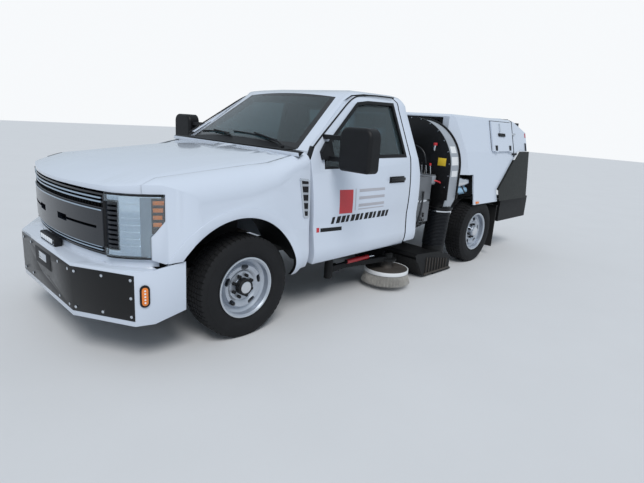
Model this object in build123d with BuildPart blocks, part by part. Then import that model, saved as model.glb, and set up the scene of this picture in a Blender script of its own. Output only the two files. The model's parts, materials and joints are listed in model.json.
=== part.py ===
from build123d import *

import os
from math import atan2, cos, degrees, hypot, radians, sin

# Street sweeper truck: a regular-cab pickup chassis that carries a blower, a pickup head, a side broom
# and a tilting hopper. +X points forward, +Y to the driver's left and +Z up. The origin is on the ground,
# midway between the two ends. All sizes are in millimetres. Lengths along the truck are given as
# distances behind the front axle, so the nose has negative ones.

os.makedirs("parts", exist_ok=True)

# Overall layout
wheelbase = 3597
front_overhang = 1085
rear_overhang = 1508
front_axle_x = (wheelbase + front_overhang + rear_overhang) / 2 - front_overhang
rear_axle_x = front_axle_x - wheelbase
running_gap = 0.3
panel_gap = 6
pin_radius = 15

# Wheels and axles
tyre_radius = 394
tyre_width = 244
flange_radius = 235
bead_radius = 218
rim_width = 215
rim_wall = 6
hub_radius = 62
bolt_face_radius = 112
hand_hole_radius = 150
hand_holes = 5
brake_drum_radius = 170
spindle_radius = 28
wheel_z = tyre_radius
front_track = 1735
rear_track = 1707
kingpin_y = 750
kingpin_radius = 45
axle_tube_radius = 45
shaft_tube_radius = 36
shaft_front = 1400
shaft_z = 446

# Frame rails
rail_y = 430
rail_width = 70
rail_depth = 150
rail_top = 600
rail_rear_top = 700
rail_front = -950
rail_rear = 4980
rail_rise_start = 2850
rail_rise_end = 3150
spring_pad_z = 559.7
leaf_length = 1200

# Cab
sill_z = 460
floor_z = 640
crease_z = 790
belt_z = 1335
crease_half_width = 1007
belt_half_width = 978
roof_half_width = 772
roof_z = 1945
door_front = 588
door_front_low = 656
door_rear = 1925
cab_front = 470
cab_back = 2118
cab_wall = 45
cab_inset = 85
door_depth = 62
glass_thickness = 6
screen_bulge = 55
screen_low = (600, 1400)
screen_high = (1225, 1845)
screen_low_half = 790
screen_high_half = 620
screen_seat = 22
rear_glass_width = 1180
rear_glass_height = 330
rear_glass_z = 1590
steering_behind = 1010
steering_y = 400
steering_z = 1150
steering_radius = 185
column_angle = 25
mirror_front = 740
mirror_inner_y = 1120
mirror_outer_y = 1440

# Nose: fenders, hood, grille, lamps and bumper
fender_wall = 22
fender_inner_y = 858
arch_ahead = 80
arch_z = 400
arch_radius = 545
flare_width = 70
flare_proud = 8
hood_half_width = 850
hood_thickness = 24
hood_rear = 462
hinge_behind = 466
hinge_z = 1386
grille_bottom = 725
grille_top = 1118
lamp_bottom = 716
lamp_top = 1132
lamp_shoulder = (-640, 965)
lamp_knee = (-716, 862)
lamp_step_low = 775
lamp_step_high = 1077
lamp_step_y = 782
seam_corner = -650
seam_flare = 0.31
seam_fall = 0.062
radiator_behind = 815
radiator_depth = 44
radiator_half_width = 698
bumper_low = 300
bumper_top = 662
wing_top = 689
wing_low = 352
wing_bend = -728
bumper_plate = 12
skin_low = 335
skin_top = 640
lamp_z = 500
light_bar_behind = -1022
light_bar_y = -30
light_bar_size = (56, 320, 60)
plate_z = 500
plate_hole_spacing = (177.8, 120.65)
plate_hole_radius = 3.2

# Hopper
hopper_wall = 20
hopper_front = 2960
hopper_chamfer = 3380
hopper_step = 4016
hopper_seam = 4497
hopper_tail = 4950
hopper_half_width = 995
knuckle_half_width = 900
hopper_top_half_width = 800
hopper_nose_half_width = 760
hopper_skirt_z = 757
hopper_knuckle_z = 1390
hopper_shoulder_z = 1780
hopper_top_z = 1805
hopper_floor_z = 885
front_floor_z = 1120
tail_floor_z = 1397
tail_step_z = 1646
slope_start = 3984
slope_end = 4640
vent_width = 1360
vent_height = 180
vent_z = 1675
doorway_behind = 4145
doorway_width = 500
doorway_height = 290
doorway_z = 1580
access_door_lap = 45
access_door_thickness = 25
access_hinge_y = 924.5
access_hinge_z = 1396.5
access_hinge_radius = 8
pivot_behind = 4560
pivot_z = 754
subrail_y = 360
subrail_width = 60
subrail_height = 80
subrail_z = 748
tail_hinge_behind = 4500
tail_hinge_z = 1812
tail_hinge_y = 560

# Lift cylinder
lift_y = -200
lift_base_behind = 2350
lift_base_z = 620
eye_behind = 3450
eye_z = 840
barrel_radius = 45
rod_radius = 25

# Sweeping gear
blower_front = 2620
blower_depth = 230
blower_y = 500
blower_z = 1200
volute_radius = 525
volute_step = 30
volute_flange = 22
flange_plate = 12
head_front = 2235
head_toe = 2420
head_rear = 2980
head_half_width = 985
head_wall = 10
head_bottom = 30
head_top_front = 300
head_top_rear = 190
head_port_z = 330
skid_width = 60
guide_rod_radius = 12
hose_radius = 132
hose_top_z = 765
hose_behind = 2740
hose_top_y = 905
port_behind = 2770
port_y = head_half_width - 125
intake_y = -(head_half_width - 245)
hose_rings = 11
broom_behind = 1890
broom_y = 866
broom_radius = 258
broom_ring_radius = 226
broom_low = 50
broom_disc_z = 194
swing_behind = 1080
swing_y = 790
outrigger_bottom = 425
outrigger_height = 40
arm_pin_behind = 1175
arm_pin_z = 300
arm_pin_radius = 12

# Rear end and tanks
bumper_face = 4980
bumper_rear = 5095
bumper_half_width = 950
side_box_front = 4220
side_box_width = 100
side_box_top = 757
rear_plate_z = 580
flap_behind = 4135
flap_low = 120
flap_width = 250
fairing_stand_off = 21
fairing_thickness = 8
tank_behind = 2375
tank_length = 250
tank_outer_y = 920
tank_bottom = 640
tank_top = 1130
valve_block_size = (80, 180, 110)

rail_inner = rail_y - rail_width / 2
rail_outer = rail_y + rail_width / 2
beyond = 1200


def back(distance):
    """The X of a point so far behind the front axle."""
    return front_axle_x - distance


def side_prism(points, y_from, y_to):
    """A side outline of (behind the front axle, height) points, between two distances from the middle."""
    with BuildPart() as prism:
        with BuildSketch(Plane.XZ.offset(-y_to)):
            with BuildLine():
                Polyline(*[(back(behind), z) for behind, z in points], close=True)
            make_face()
        extrude(amount=y_to - y_from)
    return prism.part


def plan_prism(points, z_from, z_to):
    """A plan outline of (behind the front axle, distance left) points, between two heights."""
    with BuildPart() as prism:
        with BuildSketch(Plane.XY.offset(z_from)):
            with BuildLine():
                Polyline(*[(back(behind), y) for behind, y in points], close=True)
            make_face()
        extrude(amount=z_to - z_from)
    return prism.part


def mirrored_plan(points, z_from, z_to):
    """A plan outline that starts and ends on the centre line, with its mirror image."""
    with BuildPart() as prism:
        with BuildSketch(Plane.XY.offset(z_from)):
            with BuildLine():
                Polyline(*[(back(behind), y) for behind, y in points])
                mirror(about=Plane.XZ)
            make_face()
        extrude(amount=z_to - z_from)
    return prism.part


def body_section(inset, behind_from, behind_to):
    """The cab's cross-section, so far inside the outer skin: a rocker bulge, a crease under the door
    handle, a bowed side up to the belt, a leaning window side and a crowned roof."""
    roof_lean = (belt_half_width - roof_half_width) / (1870 - belt_z)
    cant_z = 1800
    cant_y = belt_half_width - roof_lean * (cant_z - belt_z)
    low = (belt_half_width - 43 - inset, sill_z - 60)
    rocker = (crease_half_width + 12 - inset, sill_z + 160)
    crease = (crease_half_width - inset, crease_z)
    belt = (belt_half_width - inset, belt_z)
    cant = (cant_y - inset, cant_z)
    drip = (roof_half_width - 130 - inset, roof_z - 22)
    with BuildPart() as section:
        with BuildSketch(Plane.YZ.offset(back(behind_to))):
            with BuildLine():
                Line((0, low[1]), low)
                ThreePointArc(low, (crease_half_width - 2 - inset, sill_z + 40), rocker)
                Line(rocker, crease)
                ThreePointArc(crease, (crease_half_width + 7 - inset, 980), belt)
                Line(belt, cant)
                ThreePointArc(cant, (roof_half_width - 22 - inset, 1890), drip)
                ThreePointArc(drip, (330, roof_z + 5), (0, roof_z + 15))
                mirror(about=Plane.YZ)
            make_face()
        extrude(amount=behind_to - behind_from)
    return section.part


def both_sides(piece):
    """A piece and its mirror image across the centre line, in one part."""
    with BuildPart() as pair:
        add(piece)
        mirror(about=Plane.XZ)
    return pair.part


def save(piece, name):
    """Label a finished piece and write its file."""
    piece.label = name
    export_step(piece, f"parts/{name}.step")


def save_pair(piece, name):
    """Write a left piece and its mirror image on the right as two files."""
    save(piece, f"{name}_left")
    save(mirror(piece, about=Plane.XZ), f"{name}_right")


# Frame: two rails that rise over the rear axle, crossmembers, mounting pads, the outrigger of the
# broom, the tank's tray, and the pins that carry the hopper and its lift cylinder
# Rail line: distance behind the front axle, height of the rail's top
rail_line = [(rail_front, rail_top), (rail_rise_start, rail_top), (rail_rise_end, rail_rear_top),
             (rail_rear, rail_rear_top)]
rail_underside = [(behind, z - rail_depth) for behind, z in reversed(rail_line)]
rail = side_prism(rail_line + rail_underside, rail_inner, rail_outer)
pivot_ear = side_prism([(pivot_behind - 60, rail_rear_top), (pivot_behind - 25, pivot_z + 38),
                        (pivot_behind + 25, pivot_z + 38), (pivot_behind + 60, rail_rear_top)],
                       rail_inner, rail_inner + 14)
# Crossmembers: distance behind the front axle, length, bottom, top
crossmembers = [(-900, 80, 480, 590), (-120, 90, 470, spring_pad_z + 0.3), (1150, 90, 490, 590),
                (2330, 80, 490, 560), (3270, 80, 590, 680), (4940, 80, 570, 690)]
# Cab mounts: distance behind the front axle
cab_mounts = [700, 1990]
# Guide rods of the pickup head: distance behind the front axle
guide_rods = [2490, 2780]
outrigger_end = swing_y + 50
with BuildPart() as frame:
    add(both_sides(rail))
    add(both_sides(pivot_ear))
    for behind, length, low, high in crossmembers:
        with Locations((back(behind), 0, (low + high) / 2)):
            Box(length, 2 * rail_inner, high - low)
    for side in (1, -1):
        with Locations(Location((back(pivot_behind), side * (rail_inner - 30), pivot_z), (90, 0, 0))):
            Cylinder(pin_radius, 90)
        for behind in cab_mounts:
            with Locations((back(behind), side * rail_y, (rail_top + floor_z) / 2)):
                Box(90, 60, floor_z - rail_top)
        with Locations((back(0), side * (rail_outer + 57), 580)):
            Box(130, 115, 40)
        with Locations((back(flap_behind), side * (rail_outer + bumper_half_width) / 2, 675)):
            Box(30, bumper_half_width - rail_outer, 30)
        with Locations((back(lift_base_behind), lift_y + side * 56, lift_base_z - 15)):
            Box(60, 14, 90)
        for behind in guide_rods:
            with Locations((back(behind), side * rail_y, (rail_top - rail_depth + 205) / 2)):
                Cylinder(guide_rod_radius, rail_top - rail_depth - 205)
    with Locations(Location((back(lift_base_behind), lift_y, lift_base_z), (90, 0, 0))):
        Cylinder(pin_radius, 120)
    with Locations((back(swing_behind), (rail_inner + outrigger_end) / 2, outrigger_bottom + outrigger_height / 2)):
        Box(110, outrigger_end - rail_inner, outrigger_height)
    with Locations((back(swing_behind), swing_y, outrigger_bottom + outrigger_height / 2)):
        Cylinder(pin_radius + running_gap, 2 * outrigger_height, mode=Mode.SUBTRACT)
    with Locations((back(tank_behind), (rail_inner + tank_outer_y - 20) / 2, tank_bottom - running_gap - 20)):
        Box(tank_length - 20, tank_outer_y - 20 - rail_inner, 40)
save(frame.part, "frame")

# Engine: one plain block on the front crossmember
with BuildPart() as engine:
    with Locations((back(70), 0, spring_pad_z + running_gap + 270)):
        Box(660, 560, 540)
save(engine.part, "engine_block")

# Front axle: a tube with an offset differential bulge, and coil springs under the spring pads
with BuildPart() as front_axle:
    with Locations(Location((back(0), 0, 350), (90, 0, 0))):
        Cylinder(36, 2 * (kingpin_y - kingpin_radius - running_gap))
    with Locations((back(0), 250, 340)):
        Sphere(95)
    for side in (1, -1):
        with Locations((back(0), side * (rail_outer + 55), (350 + spring_pad_z) / 2)):
            Cylinder(50, spring_pad_z - 350)
save(front_axle.part, "front_axle")

# Rear axle: a tube with its differential, leaf springs on their perches, and the propeller shaft
axle_end = rear_track / 2 - 66 - running_gap
rear_perch_top = rail_rear_top - rail_depth - running_gap
with BuildPart() as rear_axle:
    with Locations(Location((rear_axle_x, 0, wheel_z), (90, 0, 0))):
        Cylinder(axle_tube_radius, 2 * axle_end)
        Cylinder(spindle_radius, rear_track + 88)
    with Locations((rear_axle_x, 0, wheel_z)):
        Sphere(150)
    with Locations(Location(((rear_axle_x + back(shaft_front)) / 2, 0, shaft_z), (0, 90, 0))):
        Cylinder(shaft_tube_radius, back(shaft_front) - rear_axle_x)
    for side in (1, -1):
        with Locations((rear_axle_x, side * rail_y, (wheel_z + rear_perch_top) / 2)):
            Box(110, 60, rear_perch_top - wheel_z)
        with Locations((rear_axle_x, side * rail_y, 470)):
            Box(leaf_length, 60, 28)
save(rear_axle.part, "rear_axle")

# Fuel tank, hung inside the left rail
fuel_tank_width = 330
with BuildPart() as fuel_tank:
    with Locations((back(1700), rail_inner - running_gap - fuel_tank_width / 2, 470)):
        Box(760, fuel_tank_width, 230)
    fillet(fuel_tank.edges().filter_by(Axis.X), 40)
save(fuel_tank.part, "fuel_tank")

# Exhaust: a straight pipe with its silencer, under the right rail's crossmembers
exhaust_z = 490 - running_gap - 30
with BuildPart() as exhaust:
    with Locations(Location((back(1925), -325, exhaust_z), (0, 90, 0))):
        Cylinder(30, 2750)
    with Locations(Location((back(1700), -310, exhaust_z), (0, 90, 0))):
        Cylinder(75, 560)
save(exhaust.part, "exhaust")

# Cab shell: roof, pillars, back panel, floor and firewall round a hollow cabin. The windscreen's
# surface is bowed across the truck and leans back with the pillars
cab_outline = [(cab_front, 610), (cab_front, 1391), (490, screen_low[1]), (1105, 1845), (1235, 1885), (1330, 1905),
               (1520, 1938), (1800, roof_z), (1985, 1905), (2035, 1830), (2085, 1350), (cab_back, 1190),
               (cab_back, 500), (600, sill_z + 20)]
cabin_outline = [(530, 690), (530, 1330), (640, 1365), (1250, 1800), (1350, 1862), (1520, 1895),
                 (1800, roof_z - cab_wall), (1960, 1865), (1995, 1800), (2040, 1350),
                 (cab_back - cab_wall, 1190), (cab_back - cab_wall, 690)]
door_outline = [(door_front_low, sill_z + 10), (door_front, belt_z + 5), (door_front + 75, 1440),
                (1270, 1868), (1450, 1890), (1860, 1893), (1905, 1850), (1950, 1350), (door_rear, 480)]
door_gap_outline = [(cab_front - 30, sill_z - 80), (cab_front - 30, belt_z + 10), (door_front + 42, 1452),
                    (1262, 1878), (1448, 1900), (1868, 1903), (1918, 1854), (1964, 1350),
                    (door_rear + 14, 380)]
doorway_outline = [(760, 560), (720, 1390), (1290, 1800), (1460, 1822), (1820, 1826), (1850, 1340), (1830, 560)]
window_outline = [(742, 1262), (750, 1418), (1300, 1806), (1450, 1826), (1835, 1832), (1880, 1352), (1170, 1346),
                  (1080, 1262)]
screen_run = screen_high[0] - screen_low[0]
screen_rise = screen_high[1] - screen_low[1]
screen_length = hypot(screen_run, screen_rise)
screen_lean = atan2(screen_rise, screen_run)
screen_foot = Plane(origin=(back(screen_low[0]), 0, screen_low[1]), x_dir=(0, 1, 0),
                    z_dir=(-cos(screen_lean), 0, sin(screen_lean)))
screen_face = Plane(origin=(back(screen_low[0] + screen_run / 2), 0, screen_low[1] + screen_rise / 2),
                    x_dir=(0, 1, 0), z_dir=(sin(screen_lean), 0, cos(screen_lean)))
far_bow = screen_bulge * ((beyond / screen_low_half) ** 2 - 1)


def screen_bow(depth):
    """The three points of the windscreen's bow, so deep inside the outer glass."""
    return (-beyond, far_bow + depth), (0, depth - screen_bulge), (beyond, far_bow + depth)


def screen_layer(outer, inner):
    """A bowed layer along the windscreen's slope, between two depths."""
    with BuildPart() as layer:
        with BuildSketch(screen_foot.offset(-screen_length)):
            with BuildLine():
                ThreePointArc(*screen_bow(outer))
                Line(screen_bow(outer)[2], screen_bow(inner)[2])
                ThreePointArc(*reversed(screen_bow(inner)))
                Line(screen_bow(inner)[0], screen_bow(outer)[0])
            make_face()
        extrude(amount=3 * screen_length)
    return layer.part


def screen_prism(margin):
    """The windscreen's trapezoid, larger by a margin, through the bow."""
    half = screen_length / 2 + margin - 14
    with BuildPart() as prism:
        with BuildSketch(screen_face.offset(screen_bulge + 20)):
            with BuildLine():
                Polyline((screen_low_half + margin, -half), (-screen_low_half - margin, -half),
                         (-screen_high_half - margin, half), (screen_high_half + margin, half), close=True)
            make_face()
        extrude(amount=-screen_bulge - 220)
    return prism.part


above_cowl = side_prism([(0, screen_low[1] - 2), (0, 2400), (2600, 2400), (2600, screen_low[1] - 2)],
                        -beyond, beyond)
cab_length = (cab_front - 70, cab_back + 82)
cab_block = side_prism(cab_outline, -beyond, beyond)
cab_skin_section = body_section(0, *cab_length)
cabin_block = side_prism(cabin_outline, -beyond, beyond)
cabin_section = body_section(cab_inset, *cab_length)
screen_recess_layer = screen_layer(-400, glass_thickness + running_gap)
screen_recess_prism = screen_prism(0)
screen_hole = screen_prism(-screen_seat)
underfloor = side_prism([(400, 400), (400, floor_z), (2200, floor_z), (2200, 400)], -780, 780)
door_pocket_block = side_prism(door_gap_outline, 500, beyond)
door_pocket_core = body_section(door_depth + running_gap, 300, 2200)
doorway = both_sides(side_prism(doorway_outline, 500, beyond))
in_front_of_screen = screen_layer(-beyond, 0)
with BuildPart() as screen_clearance:
    add(in_front_of_screen)
    add(above_cowl, mode=Mode.INTERSECT)
with BuildPart() as cabin_void:
    add(cabin_block)
    add(cabin_section, mode=Mode.INTERSECT)
with BuildPart() as screen_recess:
    add(screen_recess_layer)
    add(screen_recess_prism, mode=Mode.INTERSECT)
with BuildPart() as door_pocket:
    add(door_pocket_block)
    add(door_pocket_core, mode=Mode.SUBTRACT)
door_pockets = both_sides(door_pocket.part)
with BuildPart() as cab:
    add(cab_block)
    add(cab_skin_section, mode=Mode.INTERSECT)
    add(screen_clearance.part, mode=Mode.SUBTRACT)
    add(cabin_void.part, mode=Mode.SUBTRACT)
    add(underfloor, mode=Mode.SUBTRACT)
    add(door_pockets, mode=Mode.SUBTRACT)
    add(doorway, mode=Mode.SUBTRACT)
    add(screen_hole, mode=Mode.SUBTRACT)
    add(screen_recess.part, mode=Mode.SUBTRACT)
    with Locations((back(2060), 0, rear_glass_z)):
        Box(300, rear_glass_width, rear_glass_height, mode=Mode.SUBTRACT)
save(cab.part, "cab_shell")

# Windscreen in its rebate, and the flat rear window in its hole
screen_glass_layer = screen_layer(0, glass_thickness)
screen_glass_prism = screen_prism(-running_gap)
with BuildPart() as windshield:
    add(screen_glass_layer)
    add(screen_glass_prism, mode=Mode.INTERSECT)
save(windshield.part, "windshield")
back_lean = (2085 - 2035) / (1830 - 1350)
rear_glass_top = rear_glass_z + rear_glass_height / 2 - running_gap
rear_glass_low = rear_glass_z - rear_glass_height / 2 + running_gap
rear_glass_half = rear_glass_width / 2 - running_gap
rear_glass_points = [(2035 + (1830 - z) * back_lean - depth, z) for z, depth in [
    (rear_glass_top, 0), (rear_glass_low, 0), (rear_glass_low, glass_thickness), (rear_glass_top, glass_thickness)]]
save(side_prism(rear_glass_points, -rear_glass_half, rear_glass_half), "rear_window")

# Seats: a bench with a raked back and two headrests
seat_half_width = 700
seat_cushion = side_prism([(1180, 690), (1150, 880), (1165, 940), (1220, 962), (1640, 930), (1650, 690)],
                          -seat_half_width, seat_half_width)
seat_back = side_prism([(1600, 820), (1715, 1400), (1745, 1435), (1800, 1440), (1840, 1420), (1800, 820)],
                       -seat_half_width, seat_half_width)
with BuildPart() as seats:
    add(seat_cushion)
    add(seat_back)
    fillet(seats.edges().group_by(Axis.Y)[0], 25)
    fillet(seats.edges().group_by(Axis.Y)[-1], 25)
    for y in (-450, 450):
        with Locations((back(1790), y, 1500)):
            headrest = Box(90, 260, 160)
        fillet(headrest.edges(), 25)
save(seats.part, "seats")

# Dashboard with its brow, and the steering wheel on its column
save(side_prism([(530, 1000), (530, 1325), (640, 1340), (780, 1315), (842, 1270), (850, 1190), (800, 1150),
                 (790, 1040), (740, 1000)], -860, 860), "dashboard")
column_length = 226
with BuildPart() as steering_wheel:
    with Locations(Location((back(steering_behind), steering_y, steering_z), (0, column_angle - 90, 0))):
        Torus(steering_radius, 15)
        Cylinder(62, 40)
        Box(40, 2 * steering_radius - 10, 20)
        with Locations((-steering_radius / 2, 0, 0)):
            Box(steering_radius - 5, 40, 20)
        with Locations((0, 0, -column_length / 2)):
            Cylinder(28, column_length)
save(steering_wheel.part, "steering_wheel")

# Doors: a shell as deep as the door, with the window cut and the glass set in its depth
door_block = side_prism(door_outline, 500, beyond)
door_core = body_section(door_depth, 300, 2200)
door_skin = body_section(0, 300, 2200)
window_hole = side_prism(window_outline, 500, beyond)
with BuildPart() as door:
    add(door_block)
    add(door_skin, mode=Mode.INTERSECT)
    add(door_core, mode=Mode.SUBTRACT)
    add(window_hole, mode=Mode.SUBTRACT)
save_pair(door.part, "door")
window_middle = (1300, 1600)
glass_fit = 0.002
glass_outline = [(behind + (window_middle[0] - behind) * glass_fit, z + (window_middle[1] - z) * glass_fit)
                 for behind, z in window_outline]
glass_depth = 24
glass_block = side_prism(glass_outline, 500, beyond)
glass_skin = body_section(glass_depth, 300, 2200)
glass_core = body_section(glass_depth + glass_thickness - 1, 300, 2200)
with BuildPart() as door_glass:
    add(glass_block)
    add(glass_skin, mode=Mode.INTERSECT)
    add(glass_core, mode=Mode.SUBTRACT)
save_pair(door_glass.part, "door_glass")

# Mirrors: a tall head on two arms from a corner plate at the window's front
mirror_depth = 120
mirror_height = 340
mirror_z = 1440
plate_blank = side_prism([(705, 1340), (705, 1400), (790, 1480), (840, 1480), (840, 1340)], 800, 1100)
plate_skin = body_section(-30, 300, 2200)
door_face = body_section(-running_gap, 300, 2200)
upper_arm = side_prism([(775, 1500), (775, 1536), (825, 1536), (825, 1500)], 800, mirror_inner_y + 5)
with BuildPart() as mirror_plate:
    add(plate_blank)
    add(plate_skin, mode=Mode.INTERSECT)
with BuildPart() as door_mirror:
    with BuildSketch(Plane.YZ.offset(back(mirror_front + mirror_depth))):
        with Locations(((mirror_inner_y + mirror_outer_y) / 2, mirror_z)):
            Rectangle(mirror_outer_y - mirror_inner_y, mirror_height)
        fillet(vertices().group_by(Axis.Y)[-1], 75)
        fillet(vertices().group_by(Axis.Y)[0], 40)
    extrude(amount=mirror_depth)
    fillet(door_mirror.faces().sort_by(Axis.X)[-1].edges(), 30)
    with Locations((back(mirror_front + 60), 1060, 1350)):
        Box(50, 150, 36)
    add(mirror_plate.part)
    add(upper_arm)
    add(door_face, mode=Mode.SUBTRACT)
save_pair(door_mirror.part, "mirror")

# Fenders: a bowed skin that rolls over into the hood's seam, a flared arch and a wheel liner
# Sections of the nose: distance behind the front axle, shoulder (y, z), bend (y, z), seam height,
# middle height of the hood
nose_sections = [
    (-1005, (1012, 960), (968, 1072), 1126, 1156),
    (-650, (1013, 1040), (972, 1174), 1230, 1275),
    (0, (1014, 1090), (975, 1230), 1292, 1345),
    (250, (1011, 1150), (978, 1268), 1312, 1364),
    (582, (982, 1310), (950, 1366), 1386, 1400),
]


def fender_volume(inset, inner_y):
    """The volume inside the fender's outer skin, so far in from it, lofted from the nose sections."""
    with BuildPart() as volume:
        for behind, shoulder, bend, seam_z, middle_z in nose_sections:
            with BuildSketch(Plane.YZ.offset(back(behind))):
                low = (belt_half_width - 43 - inset, sill_z - 60)
                rocker = (crease_half_width + 12 - inset, sill_z + 160)
                crease = (crease_half_width - inset, crease_z)
                top = (shoulder[0] - inset, shoulder[1])
                middle = ((crease[0] + top[0]) / 2 + 6, (crease[1] + top[1]) / 2)
                with BuildLine():
                    Line((inner_y, low[1]), low)
                    ThreePointArc(low, (crease_half_width - 2 - inset, sill_z + 40), rocker)
                    Line(rocker, crease)
                    ThreePointArc(crease, middle, top)
                    ThreePointArc(top, (bend[0] - 0.7 * inset, bend[1] - 0.7 * inset),
                                  (fender_inner_y, seam_z - inset))
                    corner = [(inner_y, seam_z - inset)] if inner_y < fender_inner_y else []
                    Polyline((fender_inner_y, seam_z - inset), *corner, (inner_y, low[1]))
                make_face()
        loft(ruled=True)
    return volume.part


def nose_prism(inset, z_from, z_to):
    """The nose's plan: straight sides, rounded corners and a bowed front, so far inside the skin."""
    with BuildPart() as prism:
        with BuildSketch(Plane.XY.offset(z_from)):
            with BuildLine():
                Polyline((back(700), 0), (back(700), 1020 - inset), (back(-350), 1020 - inset))
                ThreePointArc((back(-350), 1020 - inset), (back(-560 + 0.3 * inset), 985 - inset),
                              (back(-720 + 0.6 * inset), 915 - 0.8 * inset))
                ThreePointArc((back(-720 + 0.6 * inset), 915 - 0.8 * inset),
                              (back(-828 + 0.8 * inset), 826 - 0.6 * inset),
                              (back(-900 + inset), 735 - 0.5 * inset))
                ThreePointArc((back(-900 + inset), 735 - 0.5 * inset), (back(-984 + inset), 380),
                              (back(-1012 + inset), 0))
                mirror(about=Plane.XZ)
            make_face()
        extrude(amount=z_to - z_from)
    return prism.part


def arch_disc(radius, y_from, y_to):
    """A disc about the wheel arch's centre."""
    with BuildPart() as disc:
        with BuildSketch(Plane.XZ.offset(-y_to)):
            with Locations((back(-arch_ahead), arch_z)):
                Circle(radius)
        extrude(amount=y_to - y_from)
    return disc.part


fender_outline = [(door_front_low - panel_gap, sill_z), (door_front - panel_gap, belt_z + 5),
                  (door_front - panel_gap, 1420), (-1020, 1420), (-1020, lamp_top + panel_gap),
                  (lamp_shoulder[0] + panel_gap, lamp_top + panel_gap), (lamp_shoulder[0] + panel_gap, lamp_shoulder[1]),
                  (lamp_knee[0] + panel_gap, lamp_knee[1]), (lamp_knee[0] + panel_gap, lamp_bottom - 4),
                  (-640, bumper_top + 22), (-530, wing_top + 8), (-300, 300), (500, 300), (520, sill_z)]
hood_corner = plan_prism([(seam_corner, 800), (seam_corner, fender_inner_y),
                          (-1100, fender_inner_y + (seam_corner + 1100) * seam_flare), (-1100, 800)], 1000, 1500)
fender_blank = side_prism(fender_outline, fender_inner_y, beyond)
fender_outer = fender_volume(0, fender_inner_y)
fender_inner = fender_volume(fender_wall, fender_inner_y - 60)
fender_proud = fender_volume(-flare_proud, fender_inner_y)
nose_outer = nose_prism(0, 250, 1500)
nose_inner = nose_prism(fender_wall, 250, 1500)
nose_proud = nose_prism(-flare_proud, 250, 1500)
cab_side = body_section(door_depth + running_gap, cab_front - running_gap, 700)
arch_hole = arch_disc(arch_radius, 500, beyond)
flare_disc = arch_disc(arch_radius + flare_width, fender_inner_y, beyond)
liner_outside = arch_disc(arch_radius + 60, 560, beyond)
liner_inside = arch_disc(arch_radius + 42, 500, beyond)
liner_outline = side_prism([(-640, bumper_top + 10), (-640, 1200), (cab_front - 1, 1200), (cab_front - 1, 520)],
                           500, beyond)
with BuildPart() as fender_void:
    add(fender_inner)
    add(nose_inner, mode=Mode.INTERSECT)
with BuildPart() as flare:
    add(fender_proud)
    add(nose_proud, mode=Mode.INTERSECT)
    add(flare_disc, mode=Mode.INTERSECT)
    add(fender_blank, mode=Mode.INTERSECT)
with BuildPart() as liner:
    add(liner_outside)
    add(liner_inside, mode=Mode.SUBTRACT)
    add(liner_outline, mode=Mode.INTERSECT)
    add(nose_prism(fender_wall / 2, 250, 1500), mode=Mode.INTERSECT)
with BuildPart() as fender:
    add(fender_outer)
    add(nose_outer, mode=Mode.INTERSECT)
    add(fender_blank, mode=Mode.INTERSECT)
    add(flare.part)
    add(fender_void.part, mode=Mode.SUBTRACT)
    add(hood_corner, mode=Mode.SUBTRACT)
    add(cab_side, mode=Mode.SUBTRACT)
    add(liner.part)
    add(arch_hole, mode=Mode.SUBTRACT)
save_pair(fender.part, "fender")

# Hood: a crowned shell with a raised middle, a turned-down front lip and a hinge barrel at its rear
dome_half_width = 500


def hood_volume(lowered):
    """The volume under the hood's skin, lowered by a thickness, lofted from the nose sections."""
    with BuildPart() as volume:
        for behind, shoulder, bend, seam_z, middle_z in nose_sections:
            ahead_of_corner = max(0, seam_corner - behind)
            edge = (hood_half_width + ahead_of_corner * seam_flare, seam_z - ahead_of_corner * seam_fall - lowered)
            valley = (dome_half_width + 80, seam_z + 0.62 * (middle_z - seam_z) - lowered)
            brow = (dome_half_width, seam_z + 0.78 * (middle_z - seam_z) - lowered)
            crest = (dome_half_width / 2, seam_z + 0.95 * (middle_z - seam_z) - lowered)
            with BuildSketch(Plane.YZ.offset(back(behind))):
                with BuildLine():
                    Polyline((0, 1000), (edge[0], 1000), edge)
                    ThreePointArc(edge, (715, seam_z + 0.38 * (middle_z - seam_z) - lowered), valley)
                    Line(valley, brow)
                    ThreePointArc(brow, crest, (0, middle_z - lowered))
                    mirror(about=Plane.YZ)
                make_face()
        loft(ruled=True)
    return volume.part


hood_skin = hood_volume(0)
hood_core = hood_volume(hood_thickness)
hood_outline = mirrored_plan([(hood_rear, 0), (hood_rear, hood_half_width), (seam_corner, hood_half_width),
                              (-1100, hood_half_width + (seam_corner + 1100) * seam_flare), (-1100, 0)], 900, 1500)
hood_nose = nose_prism(8, 900, 1500)
lip_core = nose_prism(8 + hood_thickness, 900, 1500)
lip_zone = mirrored_plan([(-655, 0), (-655, 1000), (-1100, 1000), (-1100, 0)], lamp_top + 3, 1500)
with BuildPart() as hood_lip:
    add(hood_skin)
    add(hood_nose, mode=Mode.INTERSECT)
    add(hood_outline, mode=Mode.INTERSECT)
    add(lip_zone, mode=Mode.INTERSECT)
    add(lip_core, mode=Mode.SUBTRACT)
with BuildPart() as hood:
    add(hood_skin)
    add(hood_core, mode=Mode.SUBTRACT)
    add(hood_nose, mode=Mode.INTERSECT)
    add(hood_outline, mode=Mode.INTERSECT)
    add(hood_lip.part)
    with Locations(Location((back(hinge_behind), 0, hinge_z), (90, 0, 0))):
        Cylinder(3.7, 200)
    with Locations((back(hood_rear - 5), 0, hinge_z - 4)):
        Box(16, 200, 12)
save(hood.part, "hood")

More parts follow.
